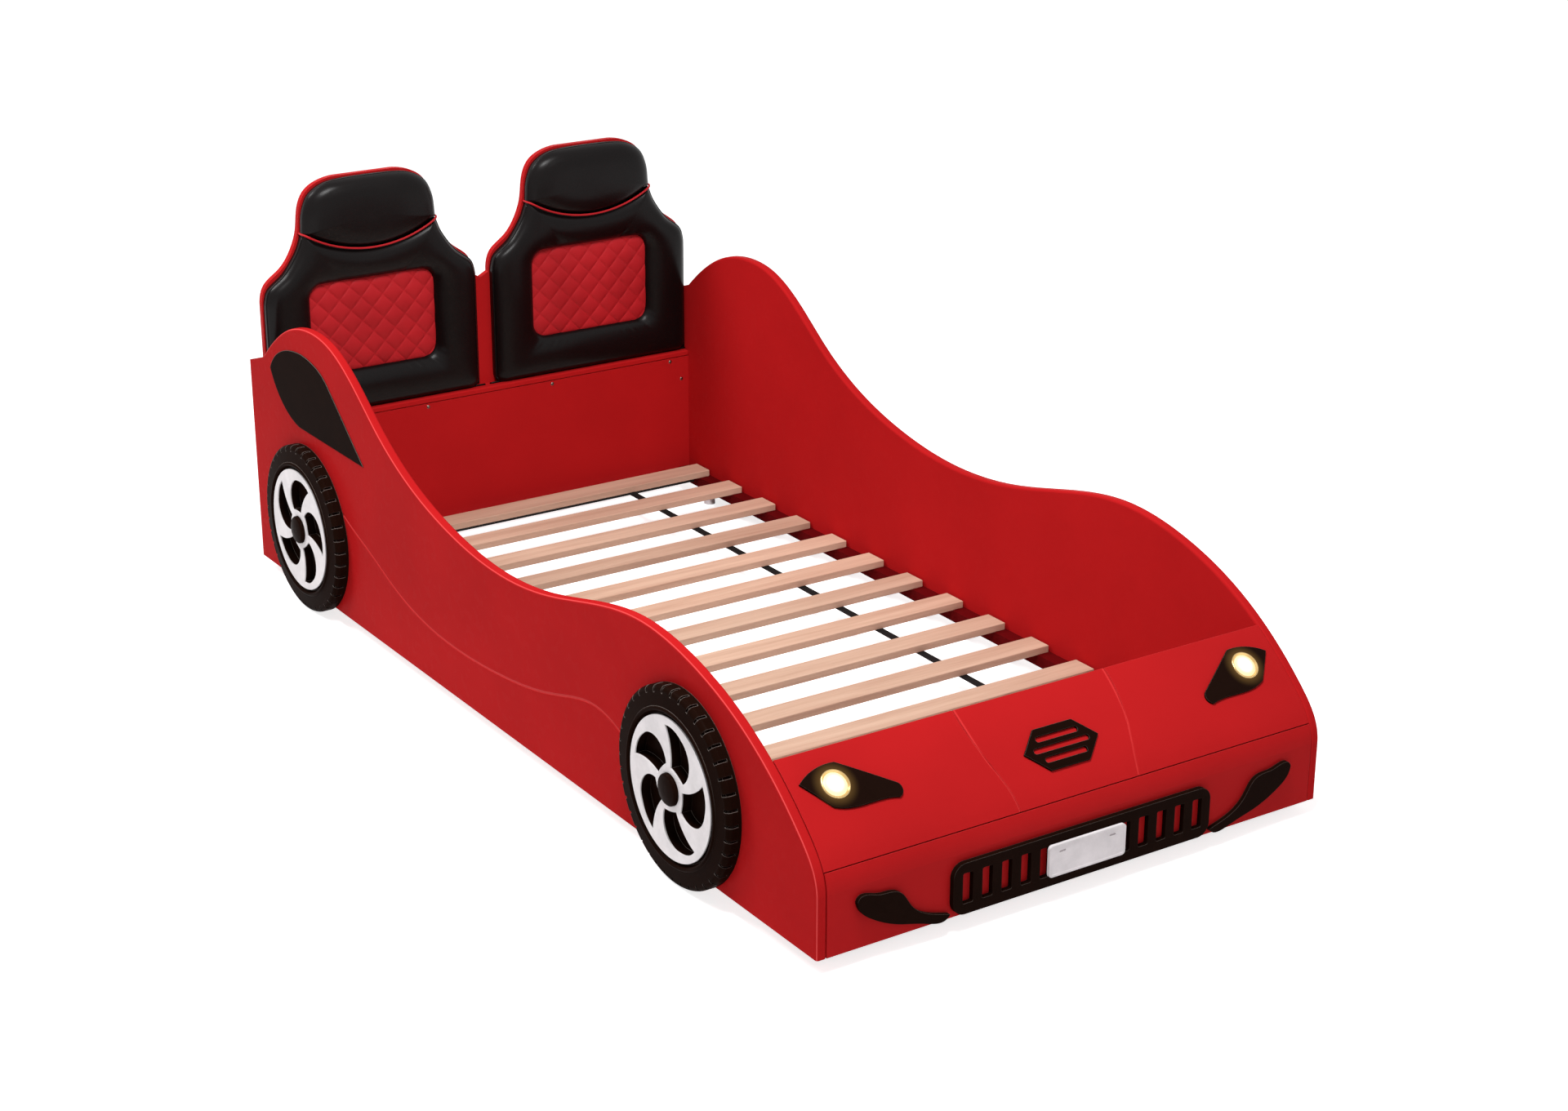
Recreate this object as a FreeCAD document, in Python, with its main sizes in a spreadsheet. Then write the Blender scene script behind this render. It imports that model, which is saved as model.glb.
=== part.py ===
import FreeCAD, Part
import math
import os

from FreeCAD import Matrix, Placement, Rotation, Vector

# A car-shaped bed for a child: two shaped side panels, a headboard with two seat
# backs, a hood, bumper and footboard at the front, a slatted base, four fixed wheel
# mouldings and two battery-fed headlights.
#
# Row frame: +Z up, the hood faces -Y, X across the bed.  The origin lies on the floor
# under the middle of the bounding box.  In the outlines below, y is counted from the
# bumper's front face towards the headboard and z from the bottom edge of the boards.

doc = FreeCAD.newDocument("car_bed")
sheet = doc.addObject("Spreadsheet::Sheet", "dims")

DRIVING = [
    # overall
    ("bed_width", 1060, "outer face to outer face of the side panels"),
    ("bed_length", 2130, "bumper face to the rear edge of the side panels"),
    ("front_proud", 16, "number plate face in front of the bumper face"),
    ("glide_height", 28.5, "boards stand this far above the floor"),
    ("glide_radius", 13, "foot radius"),
    ("board", 19, "thickness of side panels, footboard and lining"),
    ("edge_round", 5, "round-over along the top edge of a side panel"),
    ("shoulder_height", 441, "rear top corner of the side panel"),
    # side trim
    ("window_recess", 3, "depth of the side window's recess"),
    ("window_thick", 4.5, "side window plate"),
    ("groove_width", 5, "styling groove on the side panel"),
    ("groove_depth", 1.5, "depth of every styling groove"),
    # wheels
    ("wheel_front", 391, "front wheel centre behind the bumper face"),
    ("wheel_rear", 1859, "rear wheel centre behind the bumper face"),
    ("wheel_height", 148, "wheel centre above the boards' bottom edge"),
    ("tyre_radius", 176, "outside of the tread"),
    ("rim_radius", 127, "white rim plate"),
    ("wheel_stand", 28.6, "rim face in front of the side panel"),
    ("rim_thick", 2.5, "rim plate"),
    ("pocket_floor", 8, "floor of the pockets behind the blades"),
    ("hub_radius", 28.5, "hub cap"),
    ("hub_proud", 9, "hub cap above the rim plate"),
    ("tread_lugs", 40, "notches round the tyre shoulder"),
    # headboard and seats
    ("head_front", 2092, "front face of the headboard panel"),
    ("head_thick", 13, "headboard panel"),
    ("lining_front", 2061, "front face of the headboard lining"),
    ("lining_height", 295.5, "top of the lining"),
    ("ledge_height", 309, "top of the ledge under the seat backs"),
    ("seat_centre", 265, "seat centre beside the middle of the bed"),
    ("pad_half", 243, "half width of a seat back pad"),
    ("pad_thick", 35, "seat back pad"),
    ("headrest_thick", 41, "headrest pad"),
    ("pad_crown", 13, "rounding of a pad's outer front edge"),
    ("insert_half", 144, "half width of the quilted insert"),
    ("insert_low", 398, "bottom of the quilted insert"),
    ("insert_high", 596, "top of the quilted insert"),
    ("insert_corner", 34, "corner radius of the quilted insert"),
    ("insert_thick", 22, "quilted insert"),
    ("quilt_pitch", 51, "width of one quilted diamond"),
    ("piping", 6, "diameter of the piping"),
    ("seam_dip", 662, "height of the headrest seam in the middle"),
    ("seam_end", 706, "height of the headrest seam at its ends"),
    # base
    ("slat_count", 14, "slats"),
    ("slat_top", 45, "top of the slats"),
    ("slat_thick", 15, "slat thickness"),
    ("slat_width", 55, "slat width"),
    ("slat_pitch", 138.6, "slat spacing"),
    ("slat_length", 1013, "slat length"),
    ("slat_first", 163.5, "front edge of the slat nearest the footboard"),
    ("strap_place", 298, "webbing strap beside the middle of the bed"),
    ("strap_width", 18, "webbing strap"),
    ("strap_thick", 1.5, "webbing strap"),
    ("cleat_width", 30, "side cleat under the slat ends"),
    # front
    ("hood_rear", 152, "rear edge of the hood, flush with the footboard"),
    ("hood_thick", 12, "hood panel"),
    ("seam_height", 145, "top of the bumper"),
    ("seam_gap", 1.5, "open joint between bumper and hood"),
    ("bumper_thick", 18, "bumper panel"),
    ("rib_place", 250, "hood rib beside the middle of the bed"),
    ("rib_thick", 15, "hood rib"),
    ("trim_thick", 4, "headlight bezel and hood vent"),
    ("lamp_place", 432, "headlight beside the middle of the bed"),
    ("lamp_height", 240, "headlight centre above the boards' bottom edge"),
    ("lamp_radius", 26, "lamp housing"),
    ("lens_radius", 21, "lamp lens"),
    ("grille_half", 272, "half width of the grille"),
    ("grille_low", 5, "bottom of the grille"),
    ("grille_high", 97, "top of the grille"),
    ("grille_thick", 10, "grille"),
    ("plate_thick", 6, "number plate"),
    ("intake_thick", 8, "air intake"),
    # lamp control
    ("box_half", 75, "half width of the battery box"),
    ("box_low", 168, "bottom of the battery box"),
    ("box_high", 226, "top of the battery box"),
    ("box_depth", 36, "battery box inside the footboard"),
    ("flange", 6, "battery box flange on the footboard"),
    ("lead_radius", 1.6, "lamp lead"),
]
for row, (alias, value, note) in enumerate(DRIVING, start=1):
    sheet.set("A%d" % row, "'" + note)
    sheet.set("B%d" % row, str(value))
    sheet.setAlias("B%d" % row, alias)
doc.recompute()


def dim(alias):
    """One driving dimension from the sheet, in millimetres."""
    return float(sheet.get(alias))


HALF = dim("bed_width") / 2
INNER = HALF - dim("board")
FRONT = dim("front_proud") - (dim("bed_length") + dim("front_proud")) / 2
BASE = dim("glide_height")
FRONT_EXPR = "(dims.front_proud - (dims.bed_length + dims.front_proud) / 2)"
INNER_EXPR = "(dims.bed_width / 2 - dims.board)"
SIDES = (("left", -1), ("right", 1))
finished = []


def keep(obj, label):
    """Give a finished sub-part the name that its file gets."""
    obj.Label = label
    finished.append(obj)
    return obj


def place(obj, x="0", y="0", z="0"):
    """Bind a position to the sheet: y from the bumper face, z from the boards' edge."""
    obj.setExpression("Placement.Base.x", x)
    obj.setExpression("Placement.Base.y", "%s + %s" % (FRONT_EXPR, y))
    obj.setExpression("Placement.Base.z", "dims.glide_height + %s" % z)
    return obj


def box(name, length, width, height, x, y, z):
    """A box from its lowest corner; every size is an expression of the sheet."""
    obj = doc.addObject("Part::Box", name)
    obj.setExpression("Length", length)
    obj.setExpression("Width", width)
    obj.setExpression("Height", height)
    return place(obj, x, y, z)


def rounded(name, base, radius, count=12):
    """Ease the edges of a box-shaped board."""
    doc.recompute()
    obj = doc.addObject("Part::Fillet", name)
    obj.Base = base
    obj.Edges = [(i, radius, radius) for i in range(1, count + 1)]
    return obj


def boolean(kind, name, base, tool):
    """A Part::Cut or Part::Common of two objects."""
    obj = doc.addObject("Part::" + kind, name)
    obj.Base = base
    obj.Tool = tool
    return obj


def compound(name, links):
    """Several separate solids in one node."""
    obj = doc.addObject("Part::Compound", name)
    obj.Links = links
    return obj


def feature(name, shape, x=0.0, y=0.0, z=0.0):
    """A shape made by code, then placed in the bed's own coordinates."""
    obj = doc.addObject("Part::Feature", name)
    obj.Shape = shape
    obj.Placement = Placement(Vector(x, FRONT + y, BASE + z), Rotation())
    return obj


def sketch_on(body, role, edges, name):
    """A sketch on one of the body's own origin planes, holding the given edges."""
    sketch = body.newObject("Sketcher::SketchObject", name)
    planes = [p for p in body.Origin.OriginFeatures if p.Role == role]
    sketch.AttachmentSupport = [(planes[0], "")]
    sketch.MapMode = "FlatFace"
    sketch.addGeometry([edge.Curve.copy() if isinstance(edge, Part.Edge) else edge
                        for edge in edges], False)
    return sketch


def new_body(name):
    return doc.addObject("PartDesign::Body", name)


def pad(body, sketch, length, name, reversed_side=False, midplane=False):
    """Extrude a sketch by a length that is bound to the sheet."""
    obj = body.newObject("PartDesign::Pad", name)
    obj.Profile = sketch
    obj.setExpression("Length", length)
    obj.Reversed = reversed_side
    obj.Midplane = midplane
    doc.recompute()
    return obj


def pocket(body, sketch, length, name, reversed_side=False):
    """Cut a sketch into the body, and make sure that it takes material away."""
    before = body.Shape.Volume
    obj = body.newObject("PartDesign::Pocket", name)
    obj.Profile = sketch
    obj.setExpression("Length", length)
    obj.Reversed = reversed_side
    doc.recompute()
    if body.Shape.Volume > before - 1.0:
        raise ValueError("%s cuts nothing" % name)
    return obj


def revolve(body, sketch, axis_role, name):
    """Turn a sketch a full turn about one of the body's own axes."""
    obj = body.newObject("PartDesign::Revolution", name)
    obj.Profile = sketch
    axes = [a for a in body.Origin.OriginFeatures if a.Role == axis_role]
    obj.ReferenceAxis = (axes[0], [""])
    obj.Angle = 360
    doc.recompute()
    return obj


def polar(body, original, count, name):
    """Repeat a feature evenly round the body's Z axis."""
    obj = body.newObject("PartDesign::PolarPattern", name)
    obj.Originals = [original]
    axes = [a for a in body.Origin.OriginFeatures if a.Role == "Z_Axis"]
    obj.Axis = (axes[0], [""])
    obj.Angle = 360
    obj.setExpression("Occurrences", count)
    body.Tip = obj
    doc.recompute()
    return obj


def line(a, b):
    return Part.LineSegment(Vector(a[0], a[1], 0), Vector(b[0], b[1], 0))


def arc(a, m, b):
    return Part.Arc(Vector(a[0], a[1], 0), Vector(m[0], m[1], 0), Vector(b[0], b[1], 0))


def smooth(points):
    """A spline through the points."""
    curve = Part.BSplineCurve()
    curve.interpolate(Points=[Vector(p[0], p[1], 0) for p in points])
    return curve


def polygon(points):
    """Closed run of straight lines."""
    return [line(a, b) for a, b in zip(points, points[1:] + points[:1])]


def round_rect(x0, y0, x1, y1, r):
    """Rectangle with round corners, as four lines and four arcs."""
    k = r * (1 - math.sqrt(0.5))
    return [
        line((x0 + r, y0), (x1 - r, y0)),
        arc((x1 - r, y0), (x1 - k, y0 + k), (x1, y0 + r)),
        line((x1, y0 + r), (x1, y1 - r)),
        arc((x1, y1 - r), (x1 - k, y1 - k), (x1 - r, y1)),
        line((x1 - r, y1), (x0 + r, y1)),
        arc((x0 + r, y1), (x0 + k, y1 - k), (x0, y1 - r)),
        line((x0, y1 - r), (x0, y0 + r)),
        arc((x0, y0 + r), (x0 + k, y0 + k), (x0 + r, y0)),
    ]


def prism(edges, origin, x_axis, y_axis, depth):
    """Solid from closed flat edges drawn on the plane of two axes at origin."""
    wire = Part.Wire(Part.__sortEdges__([e.toShape() for e in edges]))
    solid = Part.Face(wire).extrude(Vector(0, 0, depth))
    z_axis = x_axis.cross(y_axis)
    frame = Matrix(x_axis.x, y_axis.x, z_axis.x, origin.x,
                   x_axis.y, y_axis.y, z_axis.y, origin.y,
                   x_axis.z, y_axis.z, z_axis.z, origin.z,
                   0, 0, 0, 1)
    return solid.transformed(frame, copy=True)


# ---------------------------------------------------------------- side panels
NOSE_TOP = 110.0
SHOULDER_START = 2062.0
OUTLINE = [(0, NOSE_TOP), (8, 145), (53, 202), (127, 265), (233, 329), (360, 375),
           (530, 397), (700, 370), (860, 332), (1060, 315), (1240, 336), (1400, 383),
           (1520, 445), (1640, 528), (1730, 569), (1810, 578), (1908, 561), (2005, 509),
           (SHOULDER_START, 463)]
outline_curve = smooth(OUTLINE)

WINDOW_TIP = (2021, 452)
WINDOW_CROWN = [WINDOW_TIP, (2001, 476), (1962, 500), (1908, 515), (1860, 519), (1812, 514),
                (1770, 502), (1736, 481)]
WINDOW_POINT = (1588, 357)
WINDOW_BASE = (1888, 357)


def window_edges():
    """Teardrop side window: a crowned top, a straight sill and a round rear."""
    return [
        smooth(WINDOW_CROWN),
        line(WINDOW_CROWN[-1], WINDOW_POINT),
        line(WINDOW_POINT, WINDOW_BASE),
        arc(WINDOW_BASE, (1968, 389), WINDOW_TIP),
    ]


GROOVE = [(1745, 247), (1658, 207), (1559, 172), (1499, 148), (1361, 112), (1188, 102),
          (1020, 114), (859, 142), (760, 170), (683, 182), (603, 166), (535, 130)]


def groove_edges():
    """Band along the styling line that runs from wheel to wheel."""
    half = dim("groove_width") / 2
    upper = [(y, z + half) for y, z in GROOVE]
    lower = [(y, z - half) for y, z in GROOVE]
    return [smooth(upper), line(upper[-1], lower[-1]), smooth(lower), line(lower[0], upper[0])]


def side_panel(side, sign):
    rear = dim("bed_length")
    shoulder = dim("shoulder_height")
    body = new_body("panel_body_" + side)
    edges = [
        outline_curve,
        line(OUTLINE[-1], (rear, shoulder)),
        line((rear, shoulder), (rear, 0)),
        line((rear, 0), (0, 0)),
        line((0, 0), (0, NOSE_TOP)),
    ]
    outline = sketch_on(body, "YZ_Plane", edges, "panel_outline_" + side)
    solid = pad(body, outline, "dims.board", "panel_pad_" + side, reversed_side=sign > 0)
    crest = ["Edge%d" % (i + 1) for i, e in enumerate(solid.Shape.Edges)
             if e.Length > 1500 and not isinstance(e.Curve, (Part.Line, Part.LineSegment))]
    ease = body.newObject("PartDesign::Fillet", "panel_round_" + side)
    ease.Base = (solid, crest)
    ease.setExpression("Radius", "dims.edge_round")
    doc.recompute()
    cut_inwards = sign < 0
    recess = sketch_on(body, "YZ_Plane", window_edges(), "recess_outline_" + side)
    pocket(body, recess, "dims.window_recess", "recess_" + side, reversed_side=cut_inwards)
    line_band = sketch_on(body, "YZ_Plane", groove_edges(), "groove_outline_" + side)
    pocket(body, line_band, "dims.groove_depth", "groove_" + side, reversed_side=cut_inwards)
    place(body, "%d * dims.bed_width / 2" % sign)
    return keep(body, "side_panel_" + side)


def side_window(side, sign):
    """Gloss black plate that stands a little proud of its recess."""
    body = new_body("window_body_" + side)
    outline = sketch_on(body, "YZ_Plane", window_edges(), "window_outline_" + side)
    pad(body, outline, "dims.window_thick", "window_pad_" + side, reversed_side=sign > 0)
    place(body, "%d * (dims.bed_width / 2 - dims.window_recess + dims.window_thick)" % sign)
    return keep(body, "side_window_" + side)


for side, sign in SIDES:
    side_panel(side, sign)
    side_window(side, sign)


# ---------------------------------------------------------------- wheels
# Each wheel is drawn lying flat: local Z points away from the bed and local X points
# to the right for somebody who looks at that wheel.
OUTWARDS = {
    -1: Matrix(0, 0, -1, 0, -1, 0, 0, 0, 0, 1, 0, 0, 0, 0, 0, 1),
    1: Matrix(0, 0, 1, 0, 1, 0, 0, 0, 0, 1, 0, 0, 0, 0, 0, 1),
}
# name, side, place along the bed, angle of the first gap's tip, way that the gaps trail
WHEELS = [("front_left", -1, "wheel_front", 96.5, -1), ("front_right", 1, "wheel_front", 83.5, 1),
          ("rear_left", -1, "wheel_rear", 59.0, 1), ("rear_right", 1, "wheel_rear", 121.0, -1)]


def ray(radius, degrees):
    angle = math.radians(degrees)
    return (radius * math.cos(angle), radius * math.sin(angle))


def blade_gap(tip, way):
    """One gap between two turbine blades: along the rim, inwards, round the hub, back out."""
    point = ray(113, tip)
    crown = ray(109, tip + way * 27)
    heel = ray(45, tip + way * 66)
    toe = ray(39.5, tip + way * 12)
    return [
        arc(point, ray(113.5, tip + way * 13), crown),
        arc(crown, ray(92, tip + way * 49), heel),
        arc(heel, ray(39.5, tip + way * 39), toe),
        arc(toe, ray(71, tip + way * 9), point),
    ]


def stand_wheel(body, sign, along):
    """Turn a flat-drawn wheel piece to face outwards on its side panel."""
    body.Placement = Placement(OUTWARDS[sign])
    place(body, "%d * dims.bed_width / 2" % sign, "dims." + along, "dims.wheel_height")


def tyre(name, sign, along, tip, way):
    """Tyre and dish in one black moulding, with pockets behind the blade gaps."""
    radius, rim, stand = dim("tyre_radius"), dim("rim_radius"), dim("wheel_stand")
    seat = stand - dim("rim_thick")
    body = new_body("tyre_body_" + name)
    shoulder = 11.0
    profile = [
        line((0, 0), (radius, 0)),
        line((radius, 0), (radius, stand - shoulder)),
        arc((radius, stand - shoulder), (radius - 3.0, stand - 5.6),
            (radius - shoulder, stand - 3)),
        line((radius - shoulder, stand - 3), (rim + 14, stand - 1)),
        arc((rim + 14, stand - 1), (rim + 10, stand + 2), (rim + 6, stand - 2)),
        line((rim + 6, stand - 2), (rim + 3, stand - 7)),
        line((rim + 3, stand - 7), (rim + 0.2, stand - 7)),
        line((rim + 0.2, stand - 7), (rim + 0.2, seat)),
        line((rim + 0.2, seat), (0, seat)),
        line((0, seat), (0, 0)),
    ]
    ring = sketch_on(body, "XZ_Plane", profile, "tyre_profile_" + name)
    revolve(body, ring, "Z_Axis", "tyre_ring_" + name)
    gap = sketch_on(body, "XY_Plane", blade_gap(tip, way), "tyre_gap_" + name)
    gap.AttachmentOffset = Placement(Vector(0, 0, seat), Rotation())
    well = pocket(body, gap, "dims.wheel_stand - dims.rim_thick - dims.pocket_floor",
                  "tyre_pocket_" + name)
    polar(body, well, "5", "tyre_pockets_" + name)
    half, inner = 2.2, radius - 12
    notch_edges = polygon([(inner, -half), (radius + 2, -half), (radius + 2, half), (inner, half)])
    notch = sketch_on(body, "XY_Plane", notch_edges, "tyre_notch_" + name)
    notch.AttachmentOffset = Placement(Vector(0, 0, stand + 1), Rotation())
    shallow = pocket(body, notch, "8", "tyre_cut_" + name)
    polar(body, shallow, "dims.tread_lugs", "tyre_cuts_" + name)
    deep_edges = polygon([(radius - 5, -half), (radius + 2, -half), (radius + 2, half),
                          (radius - 5, half)])
    deep = sketch_on(body, "XY_Plane", deep_edges, "tread_notch_" + name)
    deep.AttachmentOffset = Placement(Vector(0, 0, stand + 1), Rotation())
    tread = pocket(body, deep, "23", "tread_cut_" + name)
    polar(body, tread, "dims.tread_lugs", "tread_cuts_" + name)
    stand_wheel(body, sign, along)
    return keep(body, "tyre_" + name)


def circle(radius):
    return Part.Circle(Vector(0, 0, 0), Vector(0, 0, 1), radius)


def rim_plate(name, sign, along, tip, way):
    """White plate with five turbine blades round an open hub."""
    body = new_body("rim_body_" + name)
    rings = [circle(dim("rim_radius")), circle(dim("hub_radius") + 0.4)]
    disc = sketch_on(body, "XY_Plane", rings, "rim_disc_" + name)
    disc.AttachmentOffset = Placement(Vector(0, 0, dim("wheel_stand") - dim("rim_thick")),
                                      Rotation())
    pad(body, disc, "dims.rim_thick", "rim_pad_" + name)
    gap = sketch_on(body, "XY_Plane", blade_gap(tip, way), "rim_gap_" + name)
    gap.AttachmentOffset = Placement(Vector(0, 0, dim("wheel_stand")), Rotation())
    window = pocket(body, gap, "dims.rim_thick", "rim_window_" + name)
    polar(body, window, "5", "rim_windows_" + name)
    stand_wheel(body, sign, along)
    return keep(body, "rim_" + name)


def hub_cap(name, sign, along):
    """Domed cap on the hub, with a rounded shoulder."""
    seat = dim("wheel_stand") - dim("rim_thick")
    top = dim("wheel_stand") + dim("hub_proud")
    radius = dim("hub_radius")
    body = new_body("hub_body_" + name)
    profile = [
        line((0, seat), (radius, seat)),
        line((radius, seat), (radius, top - 6)),
        arc((radius, top - 6), (radius - 1.4, top - 2.6), (radius - 5, top - 1)),
        arc((radius - 5, top - 1), (radius - 13, top + 0.3), (3, top + 1)),
        line((3, top + 1), (0, top + 1)),
        line((0, top + 1), (0, seat)),
    ]
    cap = sketch_on(body, "XZ_Plane", profile, "hub_profile_" + name)
    revolve(body, cap, "Z_Axis", "hub_turn_" + name)
    stand_wheel(body, sign, along)
    return keep(body, "hub_cap_" + name)


for name, sign, along, tip, way in WHEELS:
    tyre(name, sign, along, tip, way)
    rim_plate(name, sign, along, tip, way)
    hub_cap(name, sign, along)


# ---------------------------------------------------------------- headboard
# Half outline of one seat, as distances from the seat's own centre line.
SEAT = [(246, 560), (245, 577), (236, 602), (200, 632), (171, 671), (157, 710), (151, 755),
        (135, 790), (100, 811), (60, 817)]
SEAT_TOP = 817.0
NOTCH = 550.0


def seat_side(centre, way):
    """Shoulder, neck and head of one side of a seat, from the bottom up."""
    return [(centre + way * d, z) for d, z in SEAT]


def headboard_edges():
    """Board with the outline of two seats side by side, and a notch between them."""
    centre = dim("seat_centre")
    low = 4.0
    edges = [line((-INNER, low), (INNER, low))]
    for way in (1, -1):
        outer = [(way * x, z) for x, z in seat_side(centre, 1)]
        inner = [(way * x, z) for x, z in seat_side(centre, -1)]
        edges += [
            line((way * INNER, low), outer[0]),
            smooth(outer),
            line(outer[-1], inner[-1]),
            smooth(inner),
            line(inner[0], (0, NOTCH)),
        ]
    return edges


head_body = new_body("headboard_body")
head_sketch = sketch_on(head_body, "XZ_Plane", headboard_edges(), "headboard_outline")
pad(head_body, head_sketch, "dims.head_thick", "headboard_pad", reversed_side=True)
place(head_body, y="dims.head_front")
keep(head_body, "headboard_panel")

ledge = box("ledge_board", "2 * %s" % INNER_EXPR, "dims.head_front - dims.lining_front + 2",
            "dims.ledge_height - dims.lining_height - 1", "-%s" % INNER_EXPR,
            "dims.lining_front - 2", "dims.lining_height + 1")
keep(rounded("ledge", ledge, 3.0), "headboard_ledge")
lining = box("lining_board", "2 * %s" % INNER_EXPR, "dims.board", "dims.lining_height - 4",
             "-%s" % INNER_EXPR, "dims.lining_front", "4")
keep(lining, "headboard_lining")

BATTEN_HEIGHT = 38
battens = []
for index, low in enumerate(("6", "dims.lining_height - %d" % BATTEN_HEIGHT)):
    battens.append(box("batten_%d" % index, "2 * %s - 40" % INNER_EXPR,
                       "dims.head_front - dims.lining_front - dims.board",
                       str(BATTEN_HEIGHT), "-%s + 20" % INNER_EXPR,
                       "dims.lining_front + dims.board", low))
keep(compound("battens", battens), "lining_battens")


# ---------------------------------------------------------------- seat pads
SEAM_HALF = 152.0


def seam_curve(lift=0.0):
    """Arc of the seam under the headrest, from the left end to the right end."""
    half = SEAM_HALF
    return arc((-half, dim("seam_end") + lift), (0, dim("seam_dip") + lift),
               (half, dim("seam_end") + lift))


SEAM_HALF_GAP = 1.2
PIPING_DEPTH = 4.6


def pad_prism(edges, thickness, centre):
    """Pad with a flat back on the headboard, its front face at the given thickness."""
    back = dim("head_front")
    return prism(edges, Vector(centre, FRONT + back, BASE), Vector(1, 0, 0),
                 Vector(0, 0, 1), thickness)


def long_front_edges(solid, front):
    """Edges of the solid that lie in its front plane."""
    return [e for e in solid.Edges
            if all(abs(v.Point.y - front) < 0.01 for v in e.Vertexes) and e.Length > 1.0
            and abs(e.valueAt((e.FirstParameter + e.LastParameter) / 2).y - front) < 0.01]


def back_pad(side, sign):
    """Seat back: a frame of padding with a crowned front round the quilted insert."""
    half = dim("pad_half")
    low = dim("ledge_height") + 1.5
    corner = 16.0
    k = corner * (1 - math.sqrt(0.5))
    body_side = [(half, 552), (half - 1.5, 574), (half - 11, 598), (196, 627), (167, 667),
                 (SEAM_HALF, dim("seam_end") - SEAM_HALF_GAP)]
    mirrored = [(-x, z) for x, z in reversed(body_side)]
    edges = [
        line((-half + corner, low), (half - corner, low)),
        arc((half - corner, low), (half - k, low + k), (half, low + corner)),
        line((half, low + corner), body_side[0]),
        smooth(body_side),
        seam_curve(-SEAM_HALF_GAP),
        smooth(mirrored),
        line(mirrored[-1], (-half, low + corner)),
        arc((-half, low + corner), (-half + k, low + k), (-half + corner, low)),
    ]
    thickness = dim("pad_thick")
    front = FRONT + dim("head_front") - thickness
    solid = pad_prism(edges, thickness, sign * dim("seat_centre"))
    solid = solid.makeFillet(dim("pad_crown"), long_front_edges(solid, front))
    grow = 0.4
    window = round_rect(-dim("insert_half") - grow, dim("insert_low") - grow,
                        dim("insert_half") + grow, dim("insert_high") + grow,
                        dim("insert_corner") + grow)
    solid = solid.cut(pad_prism(window, thickness + 1, sign * dim("seat_centre")))
    rim = [e for e in long_front_edges(solid, front)
           if abs(e.CenterOfMass.x - sign * dim("seat_centre")) <= dim("insert_half") + 1
           and dim("insert_low") - 2 <= e.CenterOfMass.z - BASE <= dim("insert_high") + 2]
    solid = solid.makeFillet(dim("pad_crown") - 3, rim)
    return keep(feature("pad_" + side, Part.Shape(solid), 0, -FRONT, -BASE), "back_pad_" + side)


def headrest(side, sign):
    """Headrest: a fuller pad above the seam."""
    head = [(SEAM_HALF, dim("seam_end") + SEAM_HALF_GAP), (147, 752), (131, 786), (98, 806),
            (58, 812)]
    mirrored = [(-x, z) for x, z in reversed(head)]
    edges = [seam_curve(SEAM_HALF_GAP), smooth(head + [(0, 813)] + mirrored)]
    thickness = dim("headrest_thick")
    front = FRONT + dim("head_front") - thickness
    solid = pad_prism(edges, thickness, sign * dim("seat_centre"))
    solid = solid.makeFillet(dim("pad_crown"), long_front_edges(solid, front))
    return keep(feature("rest_" + side, Part.Shape(solid), 0, -FRONT, -BASE),
                "headrest_" + side)


def quilted_insert(side, sign):
    """Insert with sewn channels that cross to make diamonds."""
    centre = sign * dim("seat_centre")
    low, high, half = dim("insert_low"), dim("insert_high"), dim("insert_half")
    thickness = dim("insert_thick")
    solid = pad_prism(round_rect(-half, low, half, high, dim("insert_corner")), thickness, centre)
    front = FRONT + dim("head_front") - thickness
    solid = solid.makeFillet(5.0, long_front_edges(solid, front))
    depth, width = 3.0, 3.0
    middle = Vector(centre, front, BASE + (low + high) / 2)
    run = 2 * half
    count = int((half + (high - low) / 2) / dim("quilt_pitch")) + 1
    channels = []
    for slope in (-1, 1):
        along = Vector(math.sqrt(0.5), 0, slope * math.sqrt(0.5))
        across = Vector(math.sqrt(0.5), 0, -slope * math.sqrt(0.5))
        for index in range(-count, count + 1):
            offset = (index + 0.5) * dim("quilt_pitch") * math.sqrt(0.5)
            start = middle + across * offset - along * run
            corners = [start + across * width + Vector(0, -1, 0),
                       start - across * width + Vector(0, -1, 0),
                       start + Vector(0, depth, 0)]
            wedge = Part.Face(Part.makePolygon(corners + corners[:1]))
            channels.append(wedge.extrude(along * (2 * run)))
    solid = solid.cut(channels)
    return keep(feature("insert_" + side, Part.Shape(solid), 0, -FRONT, -BASE),
                "quilted_insert_" + side)


def headrest_piping(side, sign):
    """Round piping in the seam, turned back along both sides of the pad."""
    centre = sign * dim("seat_centre")
    radius = dim("piping") / 2
    seam = seam_curve()
    front = FRONT + dim("head_front") - dim("headrest_thick") + PIPING_DEPTH
    edge = seam.toShape()
    edge = edge.transformed(Matrix(1, 0, 0, centre, 0, 0, -1, front, 0, 1, 0, BASE,
                                   0, 0, 0, 1))
    start = edge.valueAt(edge.FirstParameter)
    tangent = edge.tangentAt(edge.FirstParameter)
    ring = Part.Wire(Part.Circle(start, tangent, radius).toShape())
    tube = Part.Wire(edge).makePipeShell([ring], True, False)
    return keep(feature("piping_" + side, tube, 0, -FRONT, -BASE), "headrest_piping_" + side)


for side, sign in SIDES:
    back_pad(side, sign)
    headrest(side, sign)
    quilted_insert(side, sign)
    headrest_piping(side, sign)


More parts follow.
